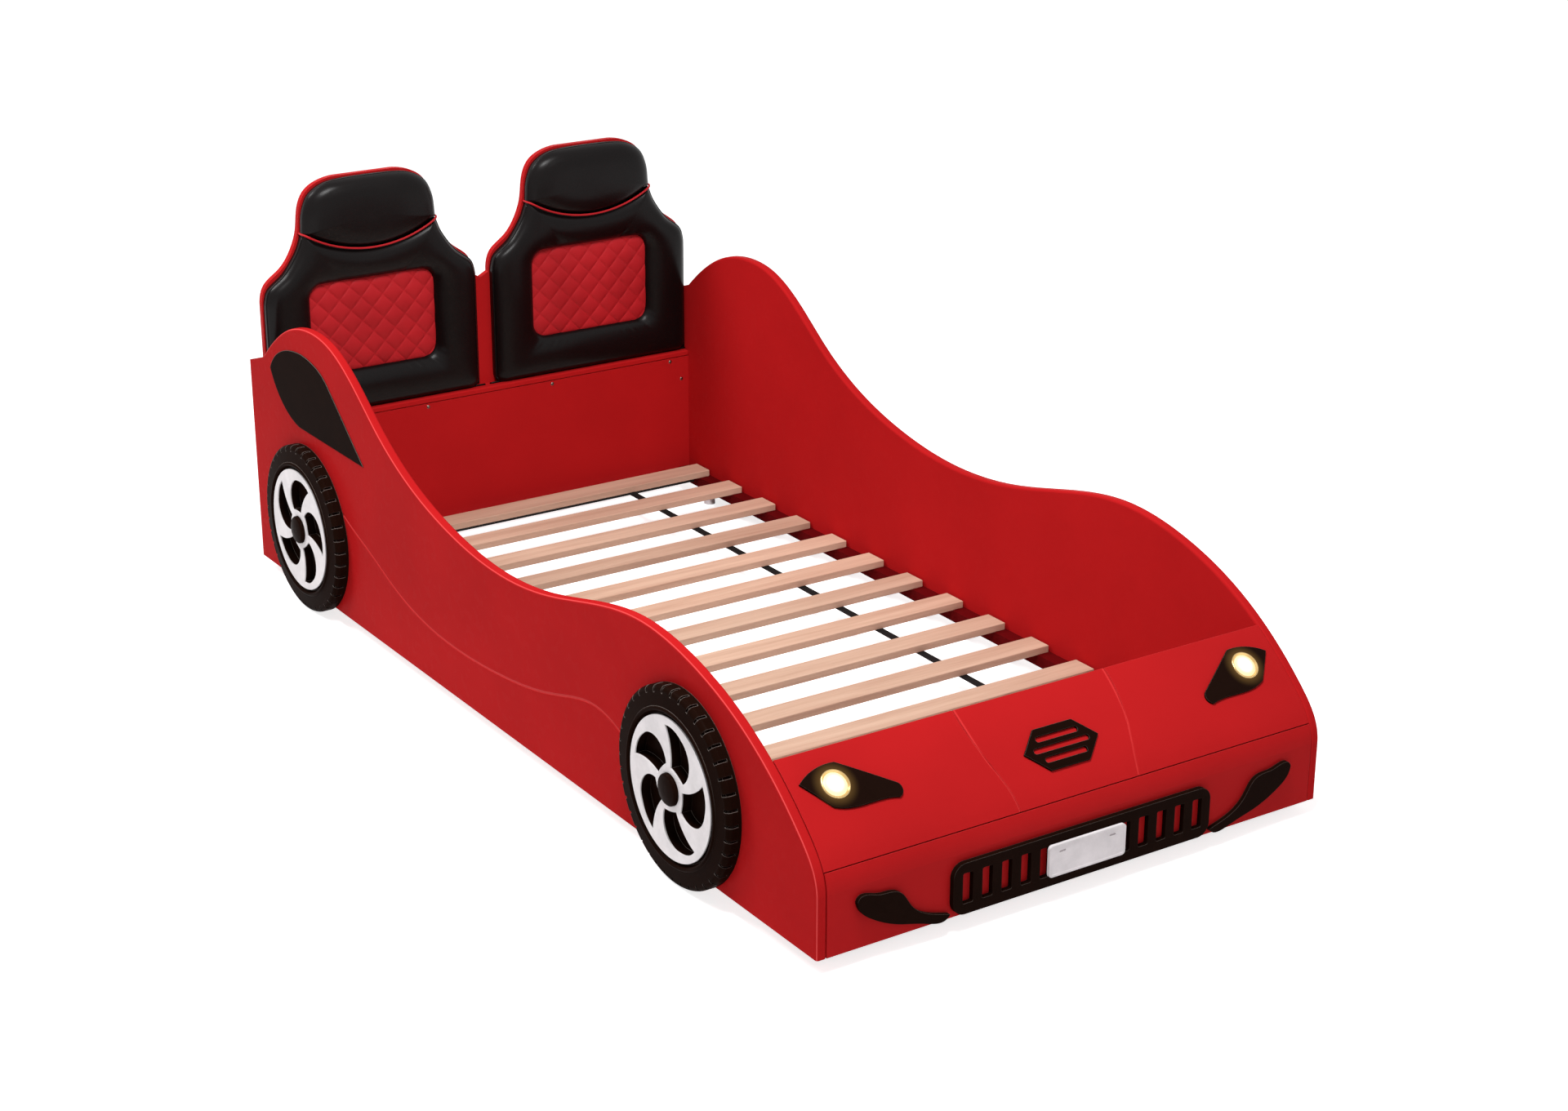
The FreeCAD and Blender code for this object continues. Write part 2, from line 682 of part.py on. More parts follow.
# ---------------------------------------------------------------- slatted base
CLEAT_LOW = 6
slats = []
for index in range(int(dim("slat_count"))):
    bare = box("slat_bare_%02d" % index, "dims.slat_length", "dims.slat_width",
               "dims.slat_thick", "-dims.slat_length / 2",
               "dims.slat_first + %d * dims.slat_pitch" % index,
               "dims.slat_top - dims.slat_thick")
    slats.append(rounded("slat_%02d" % index, bare, 1.5))
keep(compound("slat_set", slats), "slats")

for side, sign in SIDES:
    strap = box("strap_" + side, "dims.strap_width",
                "(dims.slat_count - 1) * dims.slat_pitch + dims.slat_width - 4",
                "dims.strap_thick", "%d * dims.strap_place - dims.strap_width / 2" % sign,
                "dims.slat_first + 2",
                "dims.slat_top - dims.slat_thick - dims.strap_thick")
    keep(strap, "slat_strap_" + side)
    inner = "-%s" % INNER_EXPR if sign < 0 else "%s - dims.cleat_width" % INNER_EXPR
    cleat = box("cleat_" + side, "dims.cleat_width", "dims.lining_front - dims.hood_rear - 4",
                "dims.slat_top - dims.slat_thick - %d" % CLEAT_LOW, inner,
                "dims.hood_rear + 2", str(CLEAT_LOW))
    keep(cleat, "side_cleat_" + side)

CROSS_DEPTH = 25
CROSS_HEIGHT = 14
for name, low_y in (("front", "dims.slat_first + 20"), ("rear", "dims.lining_front - 70")):
    bar = box("cross_" + name, "2 * (%s - dims.cleat_width)" % INNER_EXPR, str(CROSS_DEPTH),
              str(CROSS_HEIGHT), "-(%s - dims.cleat_width)" % INNER_EXPR, low_y,
              "dims.slat_top - dims.slat_thick - dims.strap_thick - %d" % CROSS_HEIGHT)
    keep(bar, "cross_cleat_" + name)


# ---------------------------------------------------------------- hood and bumper
def outline_at(level=None, y=None):
    """Point and outward normal of the side outline at a height or at a distance."""
    low, high = outline_curve.FirstParameter, outline_curve.LastParameter
    high = low + (high - low) * 0.2
    for _ in range(60):
        middle = (low + high) / 2
        point = outline_curve.value(middle)
        reached = point.y > level if level is not None else point.x > y
        low, high = (low, middle) if reached else (middle, high)
    tangent = outline_curve.tangent(low)[0]
    point = outline_curve.value(low)
    return (point.x, point.y), (-tangent.y, tangent.x)


HOOD_STATIONS = 6
HOOD_SINK = 1.0
seam_point, seam_normal = outline_at(level=dim("seam_height") + dim("seam_gap"))


def hood_line(offset, extra=0.0):
    """Hood section at an offset from its outer face, from the seam to the rear edge."""
    points = []
    for index in range(HOOD_STATIONS):
        share = index / (HOOD_STATIONS - 1)
        y = seam_point[0] + (dim("hood_rear") + extra - seam_point[0]) * share
        point, normal = outline_at(y=y)
        reach = offset - HOOD_SINK
        points.append((point[0] + normal[0] * reach, point[1] + normal[1] * reach))
    return points


def band_edges(outer, inner):
    """Closed band between two hood lines."""
    top, low = hood_line(outer), hood_line(inner)
    return [smooth(top), line(top[-1], low[-1]), smooth(low), line(low[0], top[0])]


def across_body(name, edges, length):
    """Profile in the YZ plane, extruded evenly to both sides of the bed's middle."""
    body = new_body(name)
    profile = sketch_on(body, "YZ_Plane", edges, name + "_profile")
    pad(body, profile, length, name + "_pad", midplane=True)
    return place(body)


hood_core = across_body("hood_core", band_edges(0, -dim("hood_thick")), "2 * %s" % INNER_EXPR)
hood_skin = across_body("hood_skin", band_edges(2, -dim("groove_depth")), "2 * %s" % INNER_EXPR)
CREASE = [(158, 170), (151, 84), (139, 50), (129, 24), (122, -4)]
CREASE_WIDTH = 2.6
creases = []
for side, sign in SIDES:
    outer = [(sign * x + CREASE_WIDTH / 2, y) for x, y in CREASE]
    inner = [(sign * x - CREASE_WIDTH / 2, y) for x, y in CREASE]
    band = [smooth(outer), line(outer[-1], inner[-1]), smooth(inner), line(inner[0], outer[0])]
    creases.append(feature("crease_" + side, prism(band, Vector(0, 0, 0), Vector(1, 0, 0),
                                                   Vector(0, 1, 0), 400)))
crease_pair = compound("crease_pair", creases)
crease_cut = boolean("Common", "crease_cut", hood_skin, crease_pair)
hood_blank = boolean("Cut", "hood_blank", hood_core, crease_cut)

bumper_top, bumper_normal = outline_at(level=dim("seam_height"))
thick = dim("bumper_thick")
bumper_inner = (bumper_top[0] - bumper_normal[0] * thick,
                bumper_top[1] - bumper_normal[1] * thick)
face_top = outline_at(level=(NOSE_TOP + dim("seam_height")) / 2)[0]
bumper_profile = [
    line((0, 0), (0, NOSE_TOP)),
    smooth([(0, NOSE_TOP), face_top, bumper_top]),
    line(bumper_top, bumper_inner),
    line(bumper_inner, (thick, NOSE_TOP - 6)),
    line((thick, NOSE_TOP - 6), (thick, 0)),
    line((thick, 0), (0, 0)),
]
keep(across_body("bumper", bumper_profile, "2 * %s" % INNER_EXPR), "bumper_panel")

# Footboard: its top is bevelled to the underside of the hood.
foot_front = dim("hood_rear") - dim("board")
under = hood_line(-dim("hood_thick"), extra=20.0)
under_curve = smooth(under)


def under_height(y):
    """Height of the hood's underside at a distance from the bumper face."""
    low, high = under_curve.FirstParameter, under_curve.LastParameter
    for _ in range(60):
        middle = (low + high) / 2
        low, high = (low, middle) if under_curve.value(middle).x > y else (middle, high)
    return under_curve.value(low).y


foot_profile = polygon([(foot_front, 0), (dim("hood_rear"), 0),
                        (dim("hood_rear"), under_height(dim("hood_rear")) - 0.5),
                        (foot_front, under_height(foot_front) - 0.5)])
foot_board = across_body("foot_board", foot_profile, "2 * %s" % INNER_EXPR)
foot_hole = box("foot_hole", "2 * dims.box_half + 1", "dims.board + 4",
                "dims.box_high - dims.box_low + 1", "-dims.box_half - 0.5",
                "dims.hood_rear - dims.board - 2", "dims.box_low - 0.5")
keep(boolean("Cut", "foot", foot_board, foot_hole), "footboard")

RIB_START = 24.0
rib_low = [(y, under_height(y) - 0.5) for y in (RIB_START + 8, 60, 96, foot_front - 0.5)]
rib_profile = [
    line((RIB_START + 8, 20), (foot_front - 0.5, 20)),
    line((foot_front - 0.5, 20), rib_low[-1]),
    smooth(list(reversed(rib_low))),
    line(rib_low[0], (RIB_START + 8, 20)),
]
LEAD_LEVEL = 150.0
LEAD_Y = 106.0
for side, sign in SIDES:
    body = new_body("rib_body_" + side)
    profile = sketch_on(body, "YZ_Plane", rib_profile, "rib_profile_" + side)
    pad(body, profile, "dims.rib_thick", "rib_pad_" + side, midplane=True)
    hole = sketch_on(body, "YZ_Plane",
                     [Part.Circle(Vector(LEAD_Y, LEAD_LEVEL, 0), Vector(0, 0, 1), 7)],
                     "rib_hole_" + side)
    wire_way = body.newObject("PartDesign::Pocket", "rib_pass_" + side)
    wire_way.Profile = hole
    wire_way.Midplane = True
    wire_way.Length = 40
    place(body, "%d * dims.rib_place" % sign)
    keep(body, "hood_rib_" + side)


# ---------------------------------------------------------------- hood trim
lamp_point, lamp_normal = outline_at(level=dim("lamp_height") + HOOD_SINK)
TILT = math.atan2(-lamp_normal[0], lamp_normal[1])
NORMAL = Vector(0, -math.sin(TILT), math.cos(TILT))
UPHILL = Vector(0, math.cos(TILT), math.sin(TILT))
vent_point, vent_normal = outline_at(level=213)
VENT_TILT = math.atan2(-vent_normal[0], vent_normal[1])


def on_hood(point, x=0.0, sink=0.0):
    """A place on the hood's outer face in the row frame."""
    return Vector(x, FRONT + point[0], BASE + point[1])


def hood_piece(name, edges, point, tilt, x):
    """Curved plate on the hood: a layer above the hood face, cut to an outline."""
    layer = across_body(name + "_layer", band_edges(dim("trim_thick"), 0.0),
                        "2 * %s" % INNER_EXPR)
    normal = Vector(0, -math.sin(tilt), math.cos(tilt))
    uphill = Vector(0, math.cos(tilt), math.sin(tilt))
    origin = on_hood(point, x) - normal * 40
    tool = prism(edges, origin, Vector(1, 0, 0), uphill, 80)
    cutter = feature(name + "_outline", tool, 0, -FRONT, -BASE)
    return boolean("Common", name, layer, cutter)


# Headlight outline on the hood face, as distance from the bed's middle and height.
BEZEL_BROW = [(492, 250), (470, 258), (445, 262.5), (415, 263)]
BEZEL_NOSE = [(327, 224), (321, 214), (331, 207)]
BEZEL_FLOOR = [(331, 207), (380, 210), (432, 212), (452, 217)]


def bezel_edges(sign):
    """Wedge-shaped headlight, drawn in the plane that touches the hood at the lamp."""
    def flat(points):
        drawn = []
        for x, level in points:
            point = outline_at(level=level + HOOD_SINK)[0]
            uphill = ((point[0] - lamp_point[0]) * math.cos(TILT)
                      + (point[1] - lamp_point[1]) * math.sin(TILT))
            drawn.append((sign * (x - dim("lamp_place")), uphill))
        return drawn

    brow, nose, floor = flat(BEZEL_BROW), flat(BEZEL_NOSE), flat(BEZEL_FLOOR)
    return [smooth(brow), line(brow[-1], nose[0]), arc(*nose), smooth(floor),
            line(floor[-1], brow[0])]


for side, sign in SIDES:
    centre = sign * dim("lamp_place")
    bezel = hood_piece("bezel_" + side, bezel_edges(sign), lamp_point, TILT, centre)
    hole = doc.addObject("Part::Cylinder", "bezel_hole_" + side)
    hole.setExpression("Radius", "dims.lamp_radius + 0.3")
    hole.Height = 80
    hole.Placement = Placement(on_hood(lamp_point, centre) - NORMAL * 40,
                               Rotation(Vector(0, 0, 1), NORMAL))
    keep(boolean("Cut", "bezel_open_" + side, bezel, hole), "headlight_bezel_" + side)

lamp_holes = []
for side, sign in SIDES:
    bore = doc.addObject("Part::Cylinder", "lamp_bore_" + side)
    bore.setExpression("Radius", "dims.lamp_radius + 0.3")
    bore.Height = 80
    bore.Placement = Placement(on_hood(lamp_point, sign * dim("lamp_place")) - NORMAL * 40,
                               Rotation(Vector(0, 0, 1), NORMAL))
    lamp_holes.append(bore)
keep(boolean("Cut", "hood", hood_blank, compound("lamp_bores", lamp_holes)), "hood_panel")

HOUSING_DEPTH = 24.0
RING_PROUD = 6.0
LENS_SEAT = 1.0
for side, sign in SIDES:
    centre = sign * dim("lamp_place")
    outer, clear = dim("lamp_radius"), dim("lens_radius")
    stand = Placement(on_hood(lamp_point, centre), Rotation(Vector(0, 0, 1), NORMAL))
    body = new_body("lamp_body_" + side)
    profile = [
        line((0, -HOUSING_DEPTH), (outer - 3, -HOUSING_DEPTH)),
        line((outer - 3, -HOUSING_DEPTH), (outer, -HOUSING_DEPTH + 3)),
        line((outer, -HOUSING_DEPTH + 3), (outer, RING_PROUD - 2)),
        arc((outer, RING_PROUD - 2), (outer - 1, RING_PROUD - 0.4), (outer - 2.5, RING_PROUD)),
        line((outer - 2.5, RING_PROUD), (clear + 0.2, RING_PROUD - 2.5)),
        line((clear + 0.2, RING_PROUD - 2.5), (clear + 0.2, LENS_SEAT)),
        line((clear + 0.2, LENS_SEAT), (clear - 3, LENS_SEAT)),
        line((clear - 3, LENS_SEAT), (8, -HOUSING_DEPTH + 6)),
        line((8, -HOUSING_DEPTH + 6), (0, -HOUSING_DEPTH + 6)),
        line((0, -HOUSING_DEPTH + 6), (0, -HOUSING_DEPTH)),
    ]
    turned = sketch_on(body, "XZ_Plane", profile, "lamp_profile_" + side)
    revolve(body, turned, "Z_Axis", "lamp_turn_" + side)
    body.Placement = stand
    keep(body, "lamp_housing_" + side)
    body = new_body("lens_body_" + side)
    profile = [
        line((0, LENS_SEAT), (clear, LENS_SEAT)),
        line((clear, LENS_SEAT), (clear, LENS_SEAT + 2)),
        arc((clear, LENS_SEAT + 2), (clear * 0.55, LENS_SEAT + 4.2), (2, LENS_SEAT + 5)),
        line((2, LENS_SEAT + 5), (0, LENS_SEAT + 5)),
        line((0, LENS_SEAT + 5), (0, LENS_SEAT)),
    ]
    turned = sketch_on(body, "XZ_Plane", profile, "lens_profile_" + side)
    revolve(body, turned, "Z_Axis", "lens_turn_" + side)
    body.Placement = stand
    keep(body, "lamp_lens_" + side)

# Hood vent: a plain lozenge frame with level louvres.
VENT_HALF, VENT_RISE, VENT_RIM = 78.0, 38.0, 9.0


def lozenge(half, rise):
    """Six-sided lozenge with flat top and bottom."""
    flat = half * 0.52
    return polygon([(-half, 0), (-flat, -rise), (flat, -rise), (half, 0), (flat, rise),
                    (-flat, rise)])


vent_solid = hood_piece("vent", lozenge(VENT_HALF, VENT_RISE), vent_point, VENT_TILT, 0.0)
vent_normal_dir = Vector(0, -math.sin(VENT_TILT), math.cos(VENT_TILT))
vent_uphill = Vector(0, math.cos(VENT_TILT), math.sin(VENT_TILT))
slots = []
SLOT_HALF_HEIGHT = 5.0
for index, half in ((-1, 44.0), (0, 58.0), (1, 44.0)):
    middle = index * 19.0
    edges = round_rect(-half, middle - SLOT_HALF_HEIGHT, half, middle + SLOT_HALF_HEIGHT, 4.5)
    origin = on_hood(vent_point) - vent_normal_dir * 40
    slots.append(prism(edges, origin, Vector(1, 0, 0), vent_uphill, 80))
vent_slots = feature("vent_slots", Part.makeCompound(slots), 0, -FRONT, -BASE)
keep(boolean("Cut", "vent_open", vent_solid, vent_slots), "hood_vent")


# ---------------------------------------------------------------- bumper trim
def front_piece(name, outlines, proud, thickness):
    """Plate on the bumper: closed outlines, its face proud of the bumper face."""
    body = new_body(name + "_body")
    sketch = sketch_on(body, "XZ_Plane", outlines, name + "_outline")
    pad(body, sketch, thickness, name + "_pad")
    return place(body, y="-(%s) + (%s)" % (proud, thickness))


SLOT_PITCH, SLOT_WIDTH, SLOT_LOW, SLOT_HIGH = 39.5, 21.0, 24.0, 79.0
FIRST_SLOT = 85.0
grille_edges = round_rect(-dim("grille_half"), dim("grille_low"), dim("grille_half"),
                          dim("grille_high"), 24)
for index in range(5):
    for sign in (-1, 1):
        middle = sign * (FIRST_SLOT + index * SLOT_PITCH)
        grille_edges += round_rect(middle - SLOT_WIDTH / 2, SLOT_LOW, middle + SLOT_WIDTH / 2,
                                   SLOT_HIGH, 3)
keep(front_piece("grille", grille_edges, "dims.grille_thick", "dims.grille_thick"), "grille")

PLATE_HALF, PLATE_LOW, PLATE_HIGH, PLATE_CORNER = 81.0, 23.5, 81.0, 7.0
BOLT_PLACE, BOLT_HALF_LENGTH, BOLT_HALF_WIDTH = 53.0, 6.5, 1.8
plate_body = new_body("plate_body")
plate_outline = sketch_on(plate_body, "XZ_Plane",
                          round_rect(-PLATE_HALF, PLATE_LOW, PLATE_HALF, PLATE_HIGH,
                                     PLATE_CORNER), "plate_outline")
pad(plate_body, plate_outline, "dims.plate_thick", "plate_pad")
field = round_rect(-PLATE_HALF + 4, PLATE_LOW + 4, PLATE_HALF - 4, PLATE_HIGH - 4,
                   PLATE_CORNER - 3)
field_sketch = sketch_on(plate_body, "XZ_Plane", field, "plate_field")
field_sketch.AttachmentOffset = Placement(Vector(0, 0, dim("plate_thick")), Rotation())
pocket(plate_body, field_sketch, "1", "plate_sunk")
bolt_edges = []
for middle in (-BOLT_PLACE, BOLT_PLACE):
    bolt_edges += round_rect(middle - BOLT_HALF_LENGTH, PLATE_HIGH - 14 - BOLT_HALF_WIDTH,
                             middle + BOLT_HALF_LENGTH, PLATE_HIGH - 14 + BOLT_HALF_WIDTH, 1.5)
bolt_sketch = sketch_on(plate_body, "XZ_Plane", bolt_edges, "plate_bolts")
bolt_sketch.AttachmentOffset = Placement(Vector(0, 0, dim("plate_thick")), Rotation())
pocket(plate_body, bolt_sketch, "4", "plate_slots")
place(plate_body, y="-dims.grille_thick")
keep(plate_body, "number_plate")

# Air intake: x away from the bed's middle, z above the boards' edge.
INTAKE_TOP = [(458, 85), (451, 94), (436, 94), (415, 88), (390, 86), (375, 80), (355, 53),
              (330, 31), (300, 19), (276, 12)]
INTAKE_LOW = [(276, 12), (280, 7), (330, 11), (380, 25), (430, 49), (452, 68), (458, 85)]
for side, sign in SIDES:
    top = [(sign * x, z) for x, z in INTAKE_TOP]
    low = [(sign * x, z) for x, z in INTAKE_LOW]
    keep(front_piece("intake_" + side, [smooth(top), smooth(low)], "dims.intake_thick",
                     "dims.intake_thick"), "air_intake_" + side)


# ---------------------------------------------------------------- lamp control
# A battery box sits in the footboard.  Its flange faces the mattress and carries the
# rocker switch and the battery lid, which hangs on pins along its top edge.
WALL = 2.5
LID_LEFT, LID_RIGHT = -8.0, 64.0
LID_LOW = dim("box_low") + 6
HINGE_LEVEL = dim("box_high") - 7
HINGE_Y = dim("hood_rear") + 2.8
PIN_RADIUS, PIN_CLEAR, PIN_LENGTH = 1.2, 0.08, 3.0
BARREL_RADIUS = 2.3
ROCKER_LEFT, ROCKER_RIGHT = -62.0, -30.0
ROCKER_LEVEL = (dim("box_low") + dim("box_high")) / 2
ROCKER_Y = dim("hood_rear") + 2.0
ROCKER_TILT = 8.0


def block(x0, x1, y0, y1, z0, z1):
    """Box between two corners, in the bed's own coordinates."""
    return Part.makeBox(x1 - x0, y1 - y0, z1 - z0, Vector(x0, y0, z0))


def rod(x0, x1, y, z, radius):
    """Round bar along X."""
    return Part.makeCylinder(radius, x1 - x0, Vector(x0, y, z), Vector(1, 0, 0))


rear_face = dim("hood_rear")
flange_face = rear_face + dim("flange")
box_half, box_low, box_high = dim("box_half"), dim("box_low"), dim("box_high")
box_front = rear_face - dim("box_depth")
shell = block(-box_half, box_half, box_front, rear_face, box_low, box_high)
shell = shell.fuse(block(-box_half - 8, box_half + 8, rear_face, flange_face,
                         box_low - 8, box_high + 8))
hollow = block(-box_half + WALL, box_half - WALL, box_front + WALL, rear_face - 1,
               box_low + WALL, box_high - WALL)
lid_hole = block(LID_LEFT - 0.5, LID_RIGHT + 0.5, rear_face - 2, flange_face + 1,
                 LID_LOW - 0.5, HINGE_LEVEL + 4.5)
rocker_hole = block(ROCKER_LEFT - 0.6, ROCKER_RIGHT + 0.6, rear_face - 12, flange_face + 1,
                    ROCKER_LEVEL - 12, ROCKER_LEVEL + 12)
shell = shell.cut([
    hollow, lid_hole, rocker_hole,
    rod(LID_LEFT - PIN_LENGTH - 1, LID_RIGHT + PIN_LENGTH + 1, HINGE_Y, HINGE_LEVEL,
        PIN_RADIUS + PIN_CLEAR),
    rod(ROCKER_LEFT - PIN_LENGTH - 1, ROCKER_RIGHT + PIN_LENGTH + 1, ROCKER_Y, ROCKER_LEVEL,
        PIN_RADIUS + PIN_CLEAR),
])
keep(feature("box_shell", shell.removeSplitter()), "battery_box")

lid = block(LID_LEFT, LID_RIGHT, flange_face - 3, flange_face, LID_LOW, HINGE_LEVEL)
lid = lid.fuse(rod(LID_LEFT, LID_RIGHT, HINGE_Y, HINGE_LEVEL, BARREL_RADIUS))
lid = lid.fuse(rod(LID_LEFT - PIN_LENGTH, LID_RIGHT + PIN_LENGTH, HINGE_Y, HINGE_LEVEL,
                   PIN_RADIUS))
finger = rod(LID_LEFT + 26, LID_RIGHT - 26, flange_face + 5.5, LID_LOW + 7, 7.0)
lid = lid.cut(finger)
keep(feature("lid_solid", lid.removeSplitter()), "battery_lid")

rocker_edges = [(-6.0, -9.5), (4.0, -10.5), (7.0, -9.5), (5.0, 0.0), (7.0, 9.5), (4.0, 10.5),
                (-6.0, 9.5)]
corners = [Vector(ROCKER_LEFT, ROCKER_Y + y, ROCKER_LEVEL + z) for y, z in rocker_edges]
rocker = Part.Face(Part.makePolygon(corners + corners[:1]))
rocker = rocker.extrude(Vector(ROCKER_RIGHT - ROCKER_LEFT, 0, 0))
rocker = rocker.fuse(rod(ROCKER_LEFT - PIN_LENGTH, ROCKER_RIGHT + PIN_LENGTH, ROCKER_Y,
                         ROCKER_LEVEL, PIN_RADIUS))
rocker.rotate(Vector(0, ROCKER_Y, ROCKER_LEVEL), Vector(1, 0, 0), ROCKER_TILT)
keep(feature("rocker", rocker), "rocker_switch")

CELL_RADIUS, CELL_LENGTH = 7.1, 50.0
cells = []
for index in range(3):
    level = box_low + WALL + CELL_RADIUS + 2 + index * (2 * CELL_RADIUS + 1)
    middle = (LID_LEFT + LID_RIGHT) / 2
    button = rod(middle + CELL_LENGTH / 2, middle + CELL_LENGTH / 2 + 1.5,
                 box_front + WALL + CELL_RADIUS + 2, level, 2.5)
    can = rod(middle - CELL_LENGTH / 2, middle + CELL_LENGTH / 2,
              box_front + WALL + CELL_RADIUS + 2, level, CELL_RADIUS)
    cells.append(can.fuse(button))
keep(feature("cells", Part.makeCompound(cells)), "battery_cells")


def rounded_route(points, radius):
    """Straight runs joined by tangent arcs, as one wire."""
    edges = []
    start = points[0]
    for before, corner, after in zip(points, points[1:], points[2:]):
        to_before = (before - corner).normalize()
        to_after = (after - corner).normalize()
        half_turn = (math.pi - to_before.getAngle(to_after)) / 2
        reach = radius * math.tan(half_turn)
        first, last = corner + to_before * reach, corner + to_after * reach
        middle_way = (to_before + to_after).normalize()
        middle = corner + middle_way * (radius / math.cos(half_turn) - radius)
        edges.append(Part.LineSegment(start, first).toShape())
        edges.append(Part.Arc(first, middle, last).toShape())
        start = last
    edges.append(Part.LineSegment(start, points[-1]).toShape())
    return Part.Wire(edges)


lead_radius = dim("lead_radius")
LEAD_BEND = 14.0
housing_foot = Vector(0, lamp_point[0], lamp_point[1]) - NORMAL * (HOUSING_DEPTH + 0.2)
leads = []
for side, sign in SIDES:
    x_lamp = sign * dim("lamp_place")
    first = Vector(x_lamp, housing_foot.y, housing_foot.z) - UPHILL * 12
    route = [first, first - NORMAL * 18 - UPHILL * 2,
             Vector(x_lamp, LEAD_Y, LEAD_LEVEL),
             Vector(sign * (box_half + 45), LEAD_Y, LEAD_LEVEL),
             Vector(sign * (box_half + 45), box_front + 9, box_low + 22),
             Vector(sign * (box_half + 0.2), box_front + 9, box_low + 22)]
    for before, corner, after in zip(route, route[1:], route[2:]):
        turn = math.degrees(math.pi - (before - corner).getAngle(after - corner))
        print("lead_%s turn %.0f deg, radius %.0f" % (side, turn, 8 if turn < 60 else LEAD_BEND))
    path = rounded_route(route, 8.0)
    ring = Part.Wire(Part.Circle(route[0], route[1] - route[0], lead_radius).toShape())
    tube = path.makePipeShell([ring], True, False)
    section = math.pi * lead_radius ** 2
    print("lead_%s volume %.0f, section x length %.0f" % (side, tube.Volume,
                                                          section * path.Length))
    leads.append(tube)
keep(feature("lead_pair", Part.makeCompound(leads)), "lamp_leads")


# ---------------------------------------------------------------- fixings and feet
BRACKET_ARM, BRACKET_WIDE, BRACKET_THICK = 34.0, 40.0, 2.5
SCREW_RADIUS, SCREW_LENGTH, HEAD_RADIUS, HEAD_HEIGHT = 1.9, 14.0, 4.0, 1.6
brackets = []
bracket_screws = []
clearances = []


def bracket_screw(head, out):
    """One screw with its head on the bracket, and its clearance hole for the bracket."""
    shank = Part.makeCylinder(SCREW_RADIUS, SCREW_LENGTH + BRACKET_THICK, head, out * -1)
    bracket_screws.append(Part.makeCylinder(HEAD_RADIUS, HEAD_HEIGHT, head, out).fuse(shank))
    clearances.append(Part.makeCylinder(SCREW_RADIUS + 0.2, 4 * BRACKET_THICK,
                                        head + out * BRACKET_THICK, out * -1))


corner_faces = [(foot_front, -1), (dim("bumper_thick"), 1)]
for face_y, way in corner_faces:
    for sign in (-1, 1):
        wall_x = sign * INNER
        low = 60.0
        lo_x, hi_x = sorted((wall_x, wall_x - sign * BRACKET_THICK))
        along = sorted((face_y, face_y + way * BRACKET_ARM))
        arm = block(lo_x, hi_x, along[0], along[1], low, low + BRACKET_WIDE)
        lo_x, hi_x = sorted((wall_x, wall_x - sign * BRACKET_ARM))
        against = sorted((face_y, face_y + way * BRACKET_THICK))
        foot = block(lo_x, hi_x, against[0], against[1], low, low + BRACKET_WIDE)
        brackets.append(arm.fuse(foot).removeSplitter())
        for level in (low + 10, low + BRACKET_WIDE - 10):
            bracket_screw(Vector(wall_x - sign * BRACKET_THICK, face_y + way * 20, level),
                          Vector(-sign, 0, 0))
            bracket_screw(Vector(wall_x - sign * 20, face_y + way * BRACKET_THICK, level),
                          Vector(0, way, 0))
drilled = [piece.cut(clearances) for piece in brackets]
keep(feature("bracket_set", Part.makeCompound(drilled)), "corner_brackets")
keep(feature("bracket_screw_set", Part.makeCompound(bracket_screws)), "bracket_screws")

LINING_SCREWS = [(-462, 288), (-154, 288), (154, 288), (462, 288), (-492, 243), (492, 243)]
screws = []
for x, level in LINING_SCREWS:
    head = Vector(x, dim("lining_front"), level)
    screw = Part.makeCone(HEAD_RADIUS, HEAD_RADIUS - 1.5, 1.2, head, Vector(0, -1, 0))
    shank = Part.makeCylinder(SCREW_RADIUS, 28.0, head, Vector(0, 1, 0))
    screws.append(screw.fuse(shank))
keep(feature("lining_screw_set", Part.makeCompound(screws)), "lining_screws")

FOOT_PLACES = (481, 1949)
glides = []
for sign in (-1, 1):
    for index, y in enumerate(FOOT_PLACES):
        glide = doc.addObject("Part::Cone", "glide_%d_%d" % (sign + 1, index))
        glide.setExpression("Radius1", "dims.glide_radius")
        glide.setExpression("Radius2", "dims.glide_radius - 2")
        glide.setExpression("Height", "dims.glide_height + %d" % CLEAT_LOW)
        place(glide, "%d * (%s - dims.cleat_width / 2)" % (sign, INNER_EXPR), str(y),
              "-dims.glide_height")
        glides.append(glide)
keep(compound("glide_set", glides), "floor_glides")


# ---------------------------------------------------------------- checks and export
doc.recompute()
for obj in doc.Objects:
    if "Invalid" in obj.State or "Error" in obj.State:
        raise ValueError("%s (%s) failed: %s" % (obj.Name, obj.Label, obj.State))
for obj in finished:
    if obj.Shape.isNull() or not obj.Shape.isValid():
        raise ValueError("%s has no valid shape" % obj.Label)

os.makedirs("parts", exist_ok=True)
for obj in finished:
    obj.Shape.exportStep("parts/%s.step" % obj.Label)
whole = FreeCAD.BoundBox()
for obj in finished:
    whole.add(obj.Shape.BoundBox)
print("%d nodes, %.1f x %.1f x %.1f mm" % (len(finished), whole.XLength, whole.YLength,
                                          whole.ZLength))
print("box from (%.2f, %.2f, %.2f) to (%.2f, %.2f, %.2f)" % (
    whole.XMin, whole.YMin, whole.ZMin, whole.XMax, whole.YMax, whole.ZMax))
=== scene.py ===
# %% [markdown]
# # A car-shaped bed, dressed in Blender
# The bed's boards, wheels and trim come from a CAD frame with every piece in its real
# place and size.  Here they get their lacquer, wood and plastic, and the soft pieces of
# the two seat backs are made as proper upholstery.  The whole script works in metres.

# %% Load the frame
import math

import bmesh
import bpy
import numpy as np
from mathutils import Matrix, Vector


